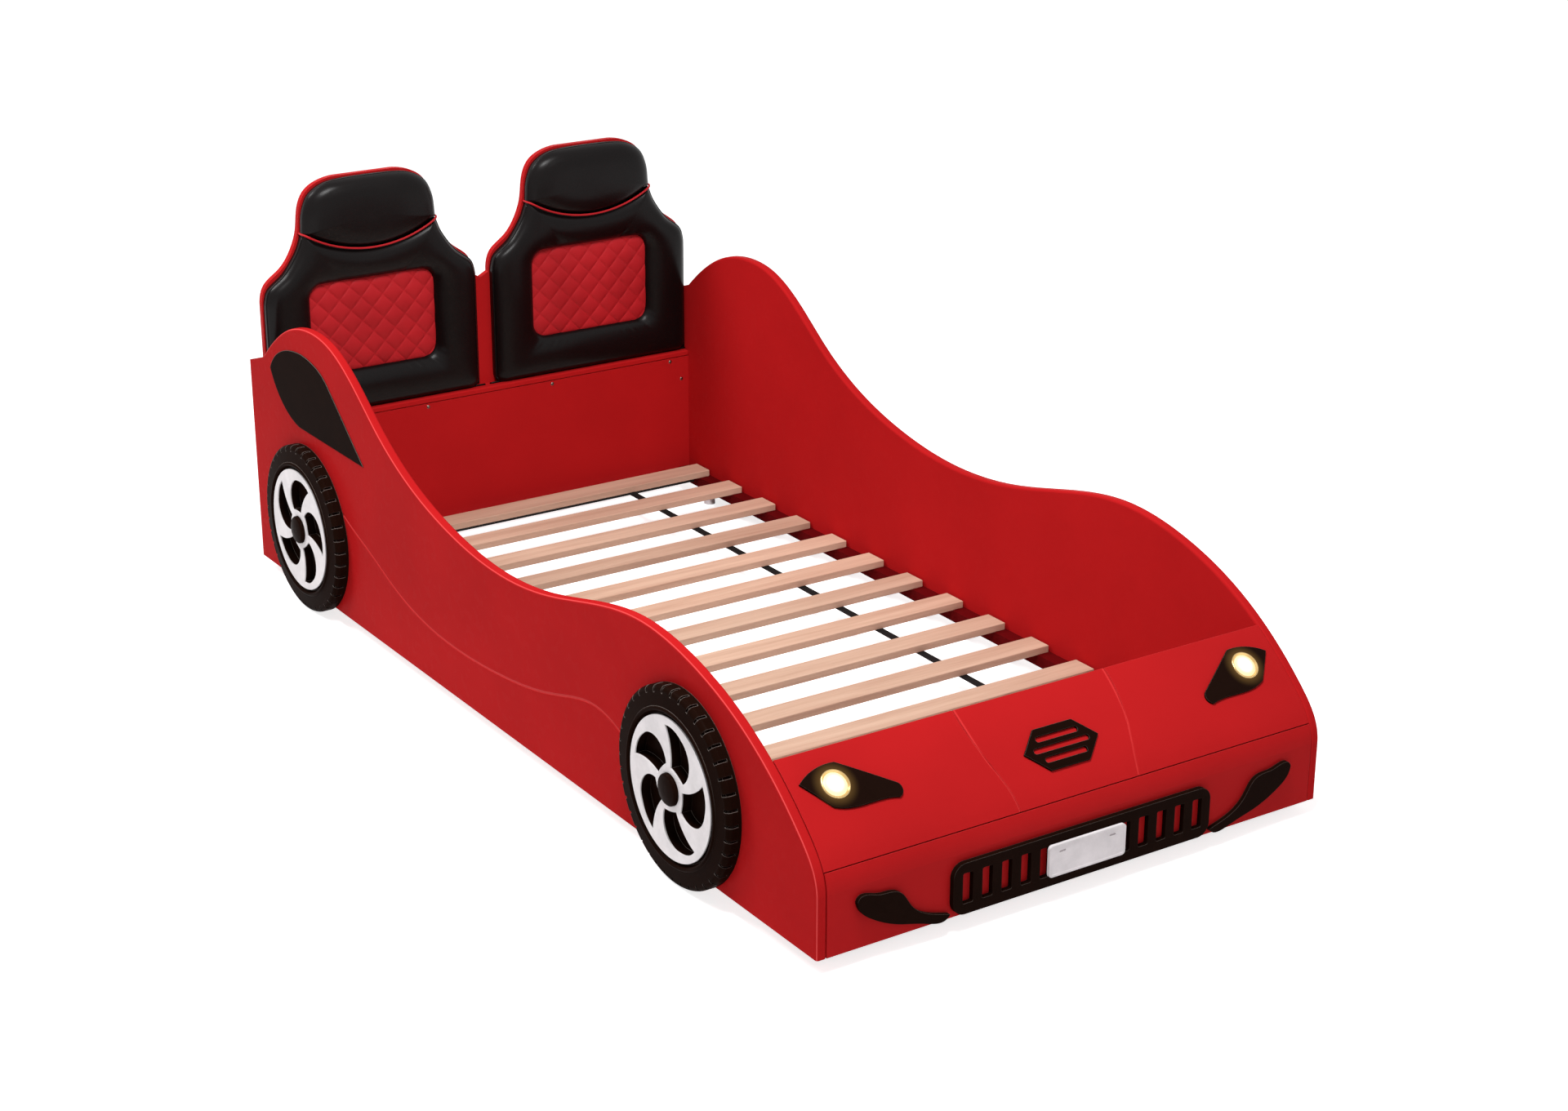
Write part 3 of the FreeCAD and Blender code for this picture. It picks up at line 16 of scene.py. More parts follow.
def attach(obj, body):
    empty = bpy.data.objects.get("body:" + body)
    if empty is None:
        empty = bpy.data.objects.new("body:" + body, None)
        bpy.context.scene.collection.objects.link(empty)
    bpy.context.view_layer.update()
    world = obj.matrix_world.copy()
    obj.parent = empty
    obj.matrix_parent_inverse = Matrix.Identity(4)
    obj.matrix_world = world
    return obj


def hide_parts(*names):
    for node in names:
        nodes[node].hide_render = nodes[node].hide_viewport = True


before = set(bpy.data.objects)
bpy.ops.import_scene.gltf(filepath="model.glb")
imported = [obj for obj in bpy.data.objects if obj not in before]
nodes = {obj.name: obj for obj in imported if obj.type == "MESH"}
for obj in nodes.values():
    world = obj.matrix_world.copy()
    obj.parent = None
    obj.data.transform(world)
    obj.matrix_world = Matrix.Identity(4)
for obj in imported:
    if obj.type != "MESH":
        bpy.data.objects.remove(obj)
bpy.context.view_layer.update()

# %% [markdown]
# The bed's own measures are counted from the bumper's front face and from the lower edge
# of the boards.  Two offsets turn them into the frame's coordinates, so that a height or
# a depth below reads like one taken with a tape on the real bed.

# %% Where the bed's own measures start
FRONT = -1.057                    # the bumper's face, along Y
BASE = 0.0285                     # the boards' lower edge above the floor
HEAD_FACE = FRONT + 2.092         # the headboard's front face
SEAT_CENTRE = 0.265               # a seat's middle beside the bed's middle
SEATS = (("left", -1), ("right", 1))
scene = bpy.context.scene
print("headboard at y = %.3f m, seats at x = %.3f m" % (HEAD_FACE, SEAT_CENTRE))

# %% [markdown]
# ## Camera
# The view is that of somebody who stands at the front left of the bed and looks down on
# it through a long lens.  Its place and direction were fitted to points that can be named
# both on the bed and in the picture: board corners, slat ends, wheel centres.

# %% Camera
PICTURE = (1920.0, 1361.0)
FOCAL_PIXELS = 3358.1
EYE = Vector((-2.6627, -4.1691, 2.1514))
AZIMUTH, ELEVATION, ROLL = (math.radians(a) for a in (-33.623, 20.936, -0.157))

back = Vector((math.sin(AZIMUTH) * math.cos(ELEVATION),
               -math.cos(AZIMUTH) * math.cos(ELEVATION), math.sin(ELEVATION)))
right = (-back).cross(Vector((0, 0, 1))).normalized()
down = (-back).cross(right)
tilted_right = math.cos(ROLL) * right + math.sin(ROLL) * down
tilted_down = -math.sin(ROLL) * right + math.cos(ROLL) * down

camera_data = bpy.data.cameras.new("camera")
camera_data.sensor_width = 36.0
camera_data.lens = FOCAL_PIXELS / PICTURE[0] * camera_data.sensor_width
camera_data.clip_end = 200.0
camera = bpy.data.objects.new("camera", camera_data)
camera.matrix_world = Matrix.Translation(EYE) @ Matrix(
    (tilted_right, -tilted_down, back)).transposed().to_4x4()
scene.collection.objects.link(camera)
scene.camera = camera
print("lens %.1f mm, at %.2f %.2f %.2f m" % (camera_data.lens, *EYE))

# %% [markdown]
# ## Studio
# A pale floor, a white surround and three large soft lamps: the main one above the front
# left, one behind the rear left that lights the side and the seats' shoulders, and a weak
# one in front.  They stay modest, so that each colour renders about as it is written.
# What shows behind the bed is white because the floor and the surround answer the
# camera's rays, and those off gloss and through glass, with white, and not because more
# light falls on the bed.


# %% Small helpers for shader nodes
def add(tree, kind, inputs=None, **settings):
    """A shader node with its settings and the values of its inputs."""
    node = tree.nodes.new("ShaderNode" + kind)
    for key, value in settings.items():
        setattr(node, key, value)
    for key, value in (inputs or {}).items():
        if isinstance(value, bpy.types.NodeSocket):
            tree.links.new(value, node.inputs[key])
        else:
            node.inputs[key].default_value = value
    return node


def blank_material(name):
    """A node material that holds only its output node."""
    material = bpy.data.materials.new(name)
    material.use_nodes = True
    material.node_tree.nodes.clear()
    output = material.node_tree.nodes.new("ShaderNodeOutputMaterial")
    return material, material.node_tree, output


def seen_directly(tree):
    """1 for rays from the camera, off a gloss or through glass; 0 for soft bounced light."""
    light_path = add(tree, "LightPath")
    either = add(tree, "Math", {0: light_path.outputs["Is Camera Ray"],
                                1: light_path.outputs["Is Glossy Ray"]}, operation="MAXIMUM")
    return add(tree, "Math", {0: either.outputs[0],
                              1: light_path.outputs["Is Transmission Ray"]},
               operation="MAXIMUM")


# %% Floor and surround
floor_material, tree, output = blank_material("pale_floor")
WHITE = (1, 1, 1, 1)
paper = add(tree, "BsdfPrincipled", {"Base Color": (0.74, 0.74, 0.74, 1), "Roughness": 0.9,
                                     "Specular IOR Level": 0.0})
bright = add(tree, "BsdfPrincipled", {"Base Color": (0.9, 0.9, 0.9, 1), "Roughness": 0.9,
                                      "Specular IOR Level": 0.0, "Emission Color": WHITE,
                                      "Emission Strength": 0.76})
seen = seen_directly(tree)
mixed = add(tree, "MixShader", {0: seen.outputs[0], 1: paper.outputs[0],
                                2: bright.outputs[0]})
tree.links.new(mixed.outputs[0], output.inputs["Surface"])

FLOOR_REACH = 60.0                # far past the picture's edge
corner = np.array([[-1, -1, 0], [1, -1, 0], [1, 1, 0], [-1, 1, 0]]) * FLOOR_REACH
floor_mesh = bpy.data.meshes.new("floor")
floor_mesh.from_pydata(corner.tolist(), [], [(0, 1, 2, 3)])
floor_mesh.materials.append(floor_material)
floor = bpy.data.objects.new("floor", floor_mesh)
scene.collection.objects.link(floor)

world = bpy.data.worlds.new("studio")
scene.world = world
world.use_nodes = True
tree = world.node_tree
tree.nodes.clear()
room = add(tree, "Background", {"Color": WHITE, "Strength": 0.30})
white = add(tree, "Background", {"Color": WHITE, "Strength": 1.0})
seen = seen_directly(tree)
mixed = add(tree, "MixShader", {0: seen.outputs[0], 1: room.outputs[0], 2: white.outputs[0]})
add(tree, "OutputWorld", {"Surface": mixed.outputs[0]})
scene.view_settings.view_transform = "Standard"
print("floor %.0f m wide, world" % (2 * FLOOR_REACH), world.name)


# %% Soft lamps
def soft_lamp(name, place, aim, size, power):
    """A square softbox that looks at a point."""
    data = bpy.data.lights.new(name, "AREA")
    data.shape = "SQUARE"
    data.size = size
    data.energy = power
    lamp = bpy.data.objects.new(name, data)
    direction = Vector(aim) - Vector(place)
    lamp.matrix_world = (Matrix.Translation(place)
                         @ direction.to_track_quat("-Z", "Y").to_matrix().to_4x4())
    scene.collection.objects.link(lamp)
    print(name, power, "W,", round(direction.length, 1), "m away")


soft_lamp("lamp_over", (-0.82, -1.35, 3.5), (0.0, -0.1, 0.2), 1.0, 116.0)
soft_lamp("lamp_front", (0.9, -4.6, 3.2), (0.0, 0.4, 0.5), 0.9, 10.0)
soft_lamp("lamp_side", (-1.85, 1.75, 2.75), (-0.1, 0.6, 0.4), 0.9, 50.0)

# %% [markdown]
# ## Finishes
# The same few effects return in many places, so each one is a shader node group: a
# lacquer film with a faint orange peel, the grain of planed pine, the pebbled grain of
# imitation leather, the fine speckle of moulded plastic and the ribs of woven webbing.  A
# group hands out only colours, roughness, heights and masks; the shader itself stays in
# each material.  Every pattern reads Object coordinates, so it sits still on its piece.


# %% A shader node group from a recipe
def shader_group(name, inputs, outputs, recipe):
    """A node group with named float or colour sockets, filled in by a recipe function."""
    tree = bpy.data.node_groups.new(name, "ShaderNodeTree")
    for label, kind, value in inputs:
        socket = tree.interface.new_socket(name=label, in_out="INPUT",
                                           socket_type="NodeSocket" + kind)
        if value is not None:
            socket.default_value = value
    for label, kind in outputs:
        tree.interface.new_socket(name=label, in_out="OUTPUT", socket_type="NodeSocket" + kind)
    entry = tree.nodes.new("NodeGroupInput")
    leave = tree.nodes.new("NodeGroupOutput")
    results = recipe(tree, entry.outputs)
    for label, socket in results.items():
        tree.links.new(socket, leave.inputs[label])
    return tree


def remap(tree, value, low, high, from_low=0.0, from_high=1.0):
    """Spread a 0-1 value over another range."""
    return add(tree, "MapRange", {"Value": value, "From Min": from_low, "From Max": from_high,
                                  "To Min": low, "To Max": high}).outputs["Result"]


def blend_colour(tree, factor, a, b, mode="MIX"):
    """Mix two colours, or multiply them."""
    node = add(tree, "Mix", data_type="RGBA", blend_type=mode)
    for index, value in ((0, factor), (6, a), (7, b)):
        if isinstance(value, bpy.types.NodeSocket):
            tree.links.new(value, node.inputs[index])
        else:
            node.inputs[index].default_value = value
    return node.outputs[2]


def shaded(tree, colour, tone):
    """A colour times a grey of this tone."""
    grey = add(tree, "CombineColor", {0: tone, 1: tone, 2: tone}).outputs[0]
    return blend_colour(tree, 1.0, colour, grey, "MULTIPLY")


# %% Lacquer film
def lacquer_recipe(tree, given):
    """Colour drifts a little over a hand's width; the film ripples over a few millimetres."""
    where = add(tree, "TexCoord").outputs["Object"]
    drift = add(tree, "TexNoise", {"Vector": where, "Scale": 3.5, "Detail": 3.0})
    peel = add(tree, "TexNoise", {"Vector": where, "Scale": 260.0, "Detail": 2.0})
    dust = add(tree, "TexNoise", {"Vector": where, "Scale": 40.0, "Detail": 4.0})
    tone = remap(tree, drift.outputs["Fac"], 0.93, 1.06, 0.3, 0.7)
    spread = add(tree, "Math", {0: given["Roughness"], 1: 0.05}, operation="ADD").outputs[0]
    rough = remap(tree, dust.outputs["Fac"], given["Roughness"], spread, 0.3, 0.7)
    return {"Colour": shaded(tree, given["Colour"], tone), "Roughness": rough,
            "Height": peel.outputs["Fac"]}


lacquer_film = shader_group(
    "lacquer_film",
    [("Colour", "Color", (0.5, 0.5, 0.5, 1)), ("Roughness", "Float", 0.3)],
    [("Colour", "Color"), ("Roughness", "Float"), ("Height", "Float")],
    lacquer_recipe)


# %% Planed pine
def pine_recipe(tree, given):
    """Long grain lines along X, wider growth bands, and a tone of its own for each slat."""
    where = add(tree, "TexCoord").outputs["Object"]
    apart = add(tree, "SeparateXYZ", {0: where})
    count = add(tree, "Math", {0: apart.outputs["Y"], 1: given["Pitch"]}, operation="DIVIDE")
    index = add(tree, "Math", {0: count.outputs[0]}, operation="ROUND")
    own = add(tree, "TexWhiteNoise", {"W": index.outputs[0]}, noise_dimensions="1D")
    shift = add(tree, "VectorMath", {0: own.outputs["Color"], 1: (3.0, 0.0, 2.0)},
                operation="MULTIPLY")
    moved = add(tree, "VectorMath", {0: where, 1: shift.outputs[0]}, operation="ADD")
    bent = add(tree, "TexNoise", {"Vector": moved.outputs[0], "Scale": 2.4, "Detail": 1.0})
    sway = add(tree, "VectorMath", {0: bent.outputs["Color"], 1: (0.0, 0.03, 0.03)},
               operation="MULTIPLY")
    swayed = add(tree, "VectorMath", {0: moved.outputs[0], 1: sway.outputs[0]},
                 operation="ADD")
    long_way = add(tree, "Mapping", {"Vector": swayed.outputs[0], "Scale": (1.6, 34.0, 34.0)})
    bands = add(tree, "TexNoise", {"Vector": long_way.outputs[0], "Scale": 1.0, "Detail": 5.0,
                                   "Roughness": 0.6})
    fine_way = add(tree, "Mapping", {"Vector": swayed.outputs[0],
                                     "Scale": (12.0, 900.0, 900.0)})
    fibre = add(tree, "TexNoise", {"Vector": fine_way.outputs[0], "Scale": 1.0, "Detail": 2.0})
    ring = remap(tree, bands.outputs["Fac"], 0.0, 1.0, 0.34, 0.74)
    colour = blend_colour(tree, ring, given["Pale"], given["Dark"])
    colour = shaded(tree, colour, remap(tree, fibre.outputs["Fac"], 0.93, 1.04, 0.3, 0.7))
    colour = shaded(tree, colour, remap(tree, own.outputs["Value"], 0.90, 1.08))
    rough = remap(tree, bands.outputs["Fac"], 0.50, 0.68)
    return {"Colour": colour, "Roughness": rough, "Height": fibre.outputs["Fac"]}


planed_pine = shader_group(
    "planed_pine",
    [("Pale", "Color", (0.8, 0.55, 0.4, 1)), ("Dark", "Color", (0.5, 0.3, 0.2, 1)),
     ("Pitch", "Float", 0.1386)],
    [("Colour", "Color"), ("Roughness", "Float"), ("Height", "Float")],
    pine_recipe)


# %% Imitation leather
def leather_recipe(tree, given):
    """Pebbles about a millimetre wide with creases between them, over a slow drift of tone."""
    where = add(tree, "TexCoord").outputs["Object"]
    warp = add(tree, "TexNoise", {"Vector": where, "Scale": 320.0, "Detail": 2.0})
    push = add(tree, "VectorMath", {0: warp.outputs["Color"], 1: (0.0012, 0.0012, 0.0012)},
               operation="MULTIPLY")
    moved = add(tree, "VectorMath", {0: where, 1: push.outputs[0]}, operation="ADD")
    cells = add(tree, "TexVoronoi", {"Vector": moved.outputs[0], "Scale": given["Pebbles"]},
                feature="DISTANCE_TO_EDGE")
    pebble = remap(tree, cells.outputs["Distance"], 0.0, 1.0, 0.0, 0.35)
    drift = add(tree, "TexNoise", {"Vector": where, "Scale": 9.0, "Detail": 3.0})
    colour = shaded(tree, given["Colour"],
                    remap(tree, drift.outputs["Fac"], 0.90, 1.12, 0.3, 0.7))
    crease = add(tree, "Math", {0: pebble, 1: 0.05}, operation="MULTIPLY").outputs[0]
    high = add(tree, "Math", {0: given["Roughness"], 1: 0.05}, operation="ADD").outputs[0]
    rough = add(tree, "Math", {0: high, 1: crease}, operation="SUBTRACT").outputs[0]
    return {"Colour": colour, "Roughness": rough, "Height": pebble}


leather_grain = shader_group(
    "leather_grain",
    [("Colour", "Color", (0.02, 0.02, 0.02, 1)), ("Roughness", "Float", 0.35),
     ("Pebbles", "Float", 700.0)],
    [("Colour", "Color"), ("Roughness", "Float"), ("Height", "Float")],
    leather_recipe)


# %% Moulded plastic
def moulded_recipe(tree, given):
    """Fine speckle from the mould, and faint scuffs in the gloss."""
    where = add(tree, "TexCoord").outputs["Object"]
    speckle = add(tree, "TexNoise", {"Vector": where, "Scale": given["Speckle"],
                                     "Detail": 3.0})
    scuff = add(tree, "TexNoise", {"Vector": where, "Scale": 24.0, "Detail": 5.0,
                                   "Roughness": 0.6})
    colour = shaded(tree, given["Colour"],
                    remap(tree, scuff.outputs["Fac"], 0.90, 1.10, 0.3, 0.7))
    more = add(tree, "Math", {0: given["Roughness"], 1: 0.10}, operation="ADD").outputs[0]
    rough = remap(tree, scuff.outputs["Fac"], given["Roughness"], more, 0.35, 0.75)
    return {"Colour": colour, "Roughness": rough, "Height": speckle.outputs["Fac"]}


moulded_skin = shader_group(
    "moulded_skin",
    [("Colour", "Color", (0.02, 0.02, 0.02, 1)), ("Roughness", "Float", 0.35),
     ("Speckle", "Float", 900.0)],
    [("Colour", "Color"), ("Roughness", "Float"), ("Height", "Float")],
    moulded_recipe)


# %% Woven webbing
def webbing_recipe(tree, given):
    """Ribs across the strap and threads along it, as two sets of fine waves."""
    where = add(tree, "TexCoord").outputs["Object"]
    ribs = add(tree, "TexWave", {"Vector": where, "Scale": 210.0, "Distortion": 0.4},
               bands_direction="Y")
    threads = add(tree, "TexWave", {"Vector": where, "Scale": 160.0, "Distortion": 0.3},
                  bands_direction="X")
    height = add(tree, "Math", {0: ribs.outputs["Fac"], 1: threads.outputs["Fac"]},
                 operation="MULTIPLY").outputs[0]
    # painted shade in the weave's hollows and painted light on its ribs: the colour follows
    # the height
    return {"Colour": shaded(tree, given["Colour"], remap(tree, height, 0.6, 1.3)),
            "Height": height}


woven_webbing = shader_group(
    "woven_webbing",
    [("Colour", "Color", (0.03, 0.03, 0.03, 1))],
    [("Colour", "Color"), ("Height", "Float")],
    webbing_recipe)
print("groups:", [g.name for g in bpy.data.node_groups])

# %% [markdown]
# ### Materials
# Each finish is one Principled shader fed by a group.  A Bevel node rounds the look of
# sharp edges by about a millimetre, as sanding and lacquer do on the real ones, and where
# it bends the normal upwards the edge also gets a painted highlight: a paler colour in
# place of the light that such a rim catches.  What is the same all over a surface, such as
# the specular level, stands on the shader itself.


# %% Edge mask
def edge_recipe(tree, given):
    """Painted highlight mask, up to 1 along sharp edges that look upwards, where the normal
    averaged over Radius leaves the face's own, and that averaged normal."""
    eased = add(tree, "Bevel", {"Radius": given["Radius"]}, samples=6)
    face = add(tree, "NewGeometry")
    along = add(tree, "VectorMath", {0: eased.outputs[0], 1: face.outputs["Normal"]},
                operation="DOT_PRODUCT")
    edge_nearness = remap(tree, along.outputs["Value"], 0.0, 1.0, 0.985, 0.86)
    upward = add(tree, "SeparateXYZ", {0: eased.outputs[0]})
    # the more an edge looks upwards, the more painted highlight it gets
    lit = remap(tree, upward.outputs["Z"], 0.08, 1.0, 0.0, 0.55)
    mask = add(tree, "Math", {0: edge_nearness, 1: lit}, operation="MULTIPLY").outputs[0]
    return {"Mask": mask, "Normal": eased.outputs[0]}


eased_edge = shader_group("eased_edge", [("Radius", "Float", 0.001)],
                          [("Mask", "Float"), ("Normal", "Vector")], edge_recipe)


# %% One finish from a group
def finish(name, group, values, bump, reach=0.0005, edge=0.0, edge_highlight_colour=None,
           edge_highlight_share=0.6, **shader_values):
    """A material: group -> Principled, with its height as bump, its edges eased, and a painted
    highlight in a paler edge colour on edges that look upwards.
    """
    material, tree, output = blank_material(name)
    effect = tree.nodes.new("ShaderNodeGroup")
    effect.node_tree = group
    for key, value in values.items():
        effect.inputs[key].default_value = value
    shader = add(tree, "BsdfPrincipled", {k.replace("_", " "): v
                                          for k, v in shader_values.items()})
    colour = effect.outputs["Colour"]
    relief = add(tree, "Bump", {"Height": effect.outputs["Height"], "Strength": bump,
                                "Distance": reach})
    if edge:
        eased = tree.nodes.new("ShaderNodeGroup")
        eased.node_tree = eased_edge
        eased.inputs["Radius"].default_value = edge
        tree.links.new(eased.outputs["Normal"], relief.inputs["Normal"])
        # painted highlight: the paler edge colour goes in where the upward edge mask is high
        if edge_highlight_colour:
            share = add(tree, "Math", {0: eased.outputs["Mask"], 1: edge_highlight_share},
                        operation="MULTIPLY").outputs[0]
            colour = blend_colour(tree, share, colour, edge_highlight_colour)
    tree.links.new(colour, shader.inputs["Base Color"])
    if "Roughness" in effect.outputs:
        tree.links.new(effect.outputs["Roughness"], shader.inputs["Roughness"])
    tree.links.new(relief.outputs[0], shader.inputs["Normal"])
    tree.links.new(shader.outputs[0], output.inputs["Surface"])
    return material


# LIT_RED and LIT_BLACK, and every paler edge colour given below, are painted highlights on
# edges that look upwards; LIT_RED also paints the hood's lines
RED = (0.480, 0.0120, 0.0135, 1)
LIT_RED = (0.85, 0.060, 0.060, 1)
BLACK = (0.0105, 0.0040, 0.0025, 1)
LIT_BLACK = (0.14, 0.12, 0.105, 1)
red_lacquer = finish("red_lacquer", lacquer_film, {"Colour": RED, "Roughness": 0.34}, 0.05,
                     edge=0.0013, edge_highlight_colour=LIT_RED, edge_highlight_share=0.5,
                     Specular_IOR_Level=0.02)
# a darker red than the boards, for the hood ribs and the side cleats
dark_red = finish("darker_red", lacquer_film, {"Colour": (0.11, 0.003, 0.004, 1),
                                               "Roughness": 0.5}, 0.1, edge=0.001,
                  Specular_IOR_Level=0.005)
pine = finish("planed_pine", planed_pine, {"Pale": (0.72, 0.49, 0.360, 1),
                                           "Dark": (0.54, 0.320, 0.225, 1)}, 0.25,
              reach=0.0003, edge=0.0008, edge_highlight_colour=(0.86, 0.66, 0.52, 1),
              Specular_IOR_Level=0.15)
black_gloss = finish("black_gloss", moulded_skin, {"Colour": BLACK, "Roughness": 0.22}, 0.05,
                     edge=0.0014, edge_highlight_colour=LIT_BLACK, edge_highlight_share=0.8,
                     Specular_IOR_Level=0.006)
window_black = finish("window_black", moulded_skin, {"Colour": BLACK, "Roughness": 0.18},
                      0.05, edge=0.0022, edge_highlight_colour=(0.30, 0.24, 0.21, 1),
                      edge_highlight_share=0.9, Specular_IOR_Level=0.002)
tyre_black = finish("tyre_black", moulded_skin, {"Colour": BLACK, "Roughness": 0.30,
                                                 "Speckle": 600.0}, 0.10,
                    edge=0.0018, edge_highlight_colour=(0.26, 0.22, 0.20, 1), edge_highlight_share=0.9,
                    Specular_IOR_Level=0.003)
rim_white = finish("rim_white", moulded_skin, {"Colour": (0.86, 0.815, 0.825, 1),
                                               "Roughness": 0.34}, 0.05, edge=0.0010,
                   edge_highlight_colour=(0.95, 0.93, 0.93, 1), Specular_IOR_Level=0.1)
plate_white = finish("plate_white", moulded_skin, {"Colour": (0.86, 0.80, 0.82, 1),
                                                   "Roughness": 0.35, "Speckle": 500.0},
                     0.12, edge=0.0010, edge_highlight_colour=(0.9, 0.88, 0.88, 1),
                     Specular_IOR_Level=0.1)
control_black = finish("control_black", moulded_skin, {"Colour": (0.02, 0.02, 0.02, 1),
                                                       "Roughness": 0.45}, 0.2, edge=0.0006,
                       edge_highlight_colour=LIT_BLACK, Specular_IOR_Level=0.2)
black_bar = finish("black_bar", moulded_skin, {"Colour": (0.015, 0.013, 0.012, 1),
                                               "Roughness": 0.5}, 0.1, edge=0.0008,
                   edge_highlight_colour=LIT_BLACK, Specular_IOR_Level=0.15)
switch_red = finish("switch_red", moulded_skin, {"Colour": (0.50, 0.012, 0.012, 1),
                                                 "Roughness": 0.25}, 0.05, edge=0.0004,
                    Specular_IOR_Level=0.4)
lead_cover = finish("lead_cover", moulded_skin, {"Colour": (0.02, 0.02, 0.02, 1),
                                                 "Roughness": 0.5}, 0.1)
cell_wrap = finish("cell_wrap", moulded_skin, {"Colour": (0.10, 0.12, 0.15, 1),
                                               "Roughness": 0.3}, 0.05)
zinc = finish("zinc_steel", moulded_skin, {"Colour": (0.60, 0.59, 0.57, 1),
                                           "Roughness": 0.30, "Speckle": 300.0}, 0.1,
              Metallic=1.0)
dark_screw = finish("dark_screw", moulded_skin, {"Colour": (0.16, 0.13, 0.11, 1),
                                                 "Roughness": 0.35, "Speckle": 300.0}, 0.1,
                    Metallic=1.0)
reflector = finish("lamp_reflector", moulded_skin, {"Colour": (0.50, 0.36, 0.16, 1),
                                                    "Roughness": 0.25}, 0.05, Metallic=1.0)
webbing = finish("black_webbing", woven_webbing, {"Colour": (0.012, 0.011, 0.011, 1)}, 0.6,
                 Roughness=0.8, Specular_IOR_Level=0.1)
black_leather = finish("black_leather", leather_grain,
                       {"Colour": (0.0046, 0.0032, 0.0032, 1), "Roughness": 0.27}, 0.08,
                       reach=0.0002, Specular_IOR_Level=0.13)
red_leather = finish("red_leather", leather_grain,
                     {"Colour": (0.470, 0.0175, 0.0230, 1), "Roughness": 0.42}, 0.12,
                     reach=0.0002, Specular_IOR_Level=0.10)
print("materials:", len(bpy.data.materials))

# %% [markdown]
# ### Lines pressed into the lacquer
# A line scored into the board catches light on its lower slope.  The groove itself is in
# the boards; here that light is painted into the lacquer's colour as a painted highlight
# along the line.  On the side panels the line is found by its depth: its floor lies a
# millimetre and a half inside the outer face.  On the hood it is found by its course, x as
# a curve of y.


# %% Scored lines
LINE_FLOOR, LINE_REACH = 0.5287, 0.0007      # |x| of the side line's floor, give or take
LINE_LIGHT = (1.0, 0.12, 0.12, 1)


def principled(material):
    """The node tree of a material, and its one Principled shader."""
    tree = material.node_tree
    return tree, next(n for n in tree.nodes if n.type == "BSDF_PRINCIPLED")


def lighten(material, share, colour):
    """Mix a colour into what already feeds the shader's base colour."""
    tree, shader = principled(material)
    before = shader.inputs["Base Color"].links[0].from_socket
    tree.links.new(blend_colour(tree, share, before, colour), shader.inputs["Base Color"])
    return material


def place_beside_middle(tree):
    """|x| and y of the shaded point, which are the same for the left and the right half."""
    apart = add(tree, "SeparateXYZ", {0: add(tree, "TexCoord").outputs["Object"]})
    out = add(tree, "Math", {0: apart.outputs["X"]}, operation="ABSOLUTE").outputs[0]
    return out, apart.outputs["Y"]


def highlight_side_line(material):
    """Painted highlight where |x| is within LINE_REACH of the floor of the side panels' line.
    """
    tree = material.node_tree
    out, _ = place_beside_middle(tree)
    near = add(tree, "Math", {0: out, 1: LINE_FLOOR, 2: LINE_REACH},
               operation="COMPARE").outputs[0]
    share = add(tree, "Math", {0: near, 1: 0.55}, operation="MULTIPLY").outputs[0]
    return lighten(material, share, LINE_LIGHT)


def highlight_hood_lines(material):
    """Painted highlight where |x| is near the course of the hood's lines: a curve through five
    points.
    """
    tree = material.node_tree
    out, depth = place_beside_middle(tree)
    along = remap(tree, depth, 0.0, 1.0, FRONT - 0.004, FRONT + 0.170)
    course = add(tree, "FloatCurve", {"Value": along})
    curve = course.mapping.curves[0]
    for spot in ((0.161, 0.194), (0.310, 0.472), (0.506, 0.806)):
        curve.points.new(*spot)
    course.mapping.update()
    line = remap(tree, course.outputs["Value"], 0.122, 0.158)
    away = add(tree, "Math", {0: out, 1: line}, operation="SUBTRACT").outputs[0]
    away = add(tree, "Math", {0: away}, operation="ABSOLUTE").outputs[0]
    share = remap(tree, away, 0.45, 0.0, 0.0008, 0.0022)
    return lighten(material, share, LIT_RED)


panel_lacquer = highlight_side_line(finish(
    "panel_lacquer", lacquer_film, {"Colour": RED, "Roughness": 0.24}, 0.05, edge=0.0013,
    edge_highlight_colour=LIT_RED, edge_highlight_share=0.42, Specular_IOR_Level=0.003))
hood_lacquer = highlight_hood_lines(finish(
    "hood_lacquer", lacquer_film, {"Colour": RED, "Roughness": 0.32}, 0.05, edge=0.0013,
    edge_highlight_colour=LIT_RED, edge_highlight_share=0.5, Specular_IOR_Level=0.03))

# %% [markdown]
# ### Lit lamps
# A lit headlight looks white in the middle and turns to warm yellow at its rim, and some
# of its light creeps into the black bezel round it.  The bezel and the reflector behind
# the lens give no light themselves; the light on them is painted as a glow.  All of these
# are a matter of the distance from the lamp's middle, measured on the object itself, so
# they stay in place from any side.

# %% Glow by distance from the lamp
LAMP = (0.432, -0.9630, 0.2735)              # middle of the right lens


def glow_recipe(tree, given):
    """(|x|, y, z) minus the lamp's middle; its length runs a falloff from Inner to Outer."""
    where = add(tree, "TexCoord").outputs["Object"]
    apart = add(tree, "SeparateXYZ", {0: where})
    folded = add(tree, "Math", {0: apart.outputs["X"]}, operation="ABSOLUTE")
    joined = add(tree, "CombineXYZ", {0: folded.outputs[0], 1: apart.outputs["Y"],
                                      2: apart.outputs["Z"]})
    away = add(tree, "VectorMath", {0: joined.outputs[0], 1: LAMP},
               operation="DISTANCE")
    fade = add(tree, "MapRange", {"Value": away.outputs["Value"], "From Min": given["Inner"],
                                  "From Max": given["Outer"], "To Min": 1.0, "To Max": 0.0})
    fade.interpolation_type = "SMOOTHSTEP"
    return {"Fade": fade.outputs["Result"]}


lamp_glow = shader_group("lamp_glow", [("Inner", "Float", 0.0), ("Outer", "Float", 0.02)],
                         [("Fade", "Float")], glow_recipe)


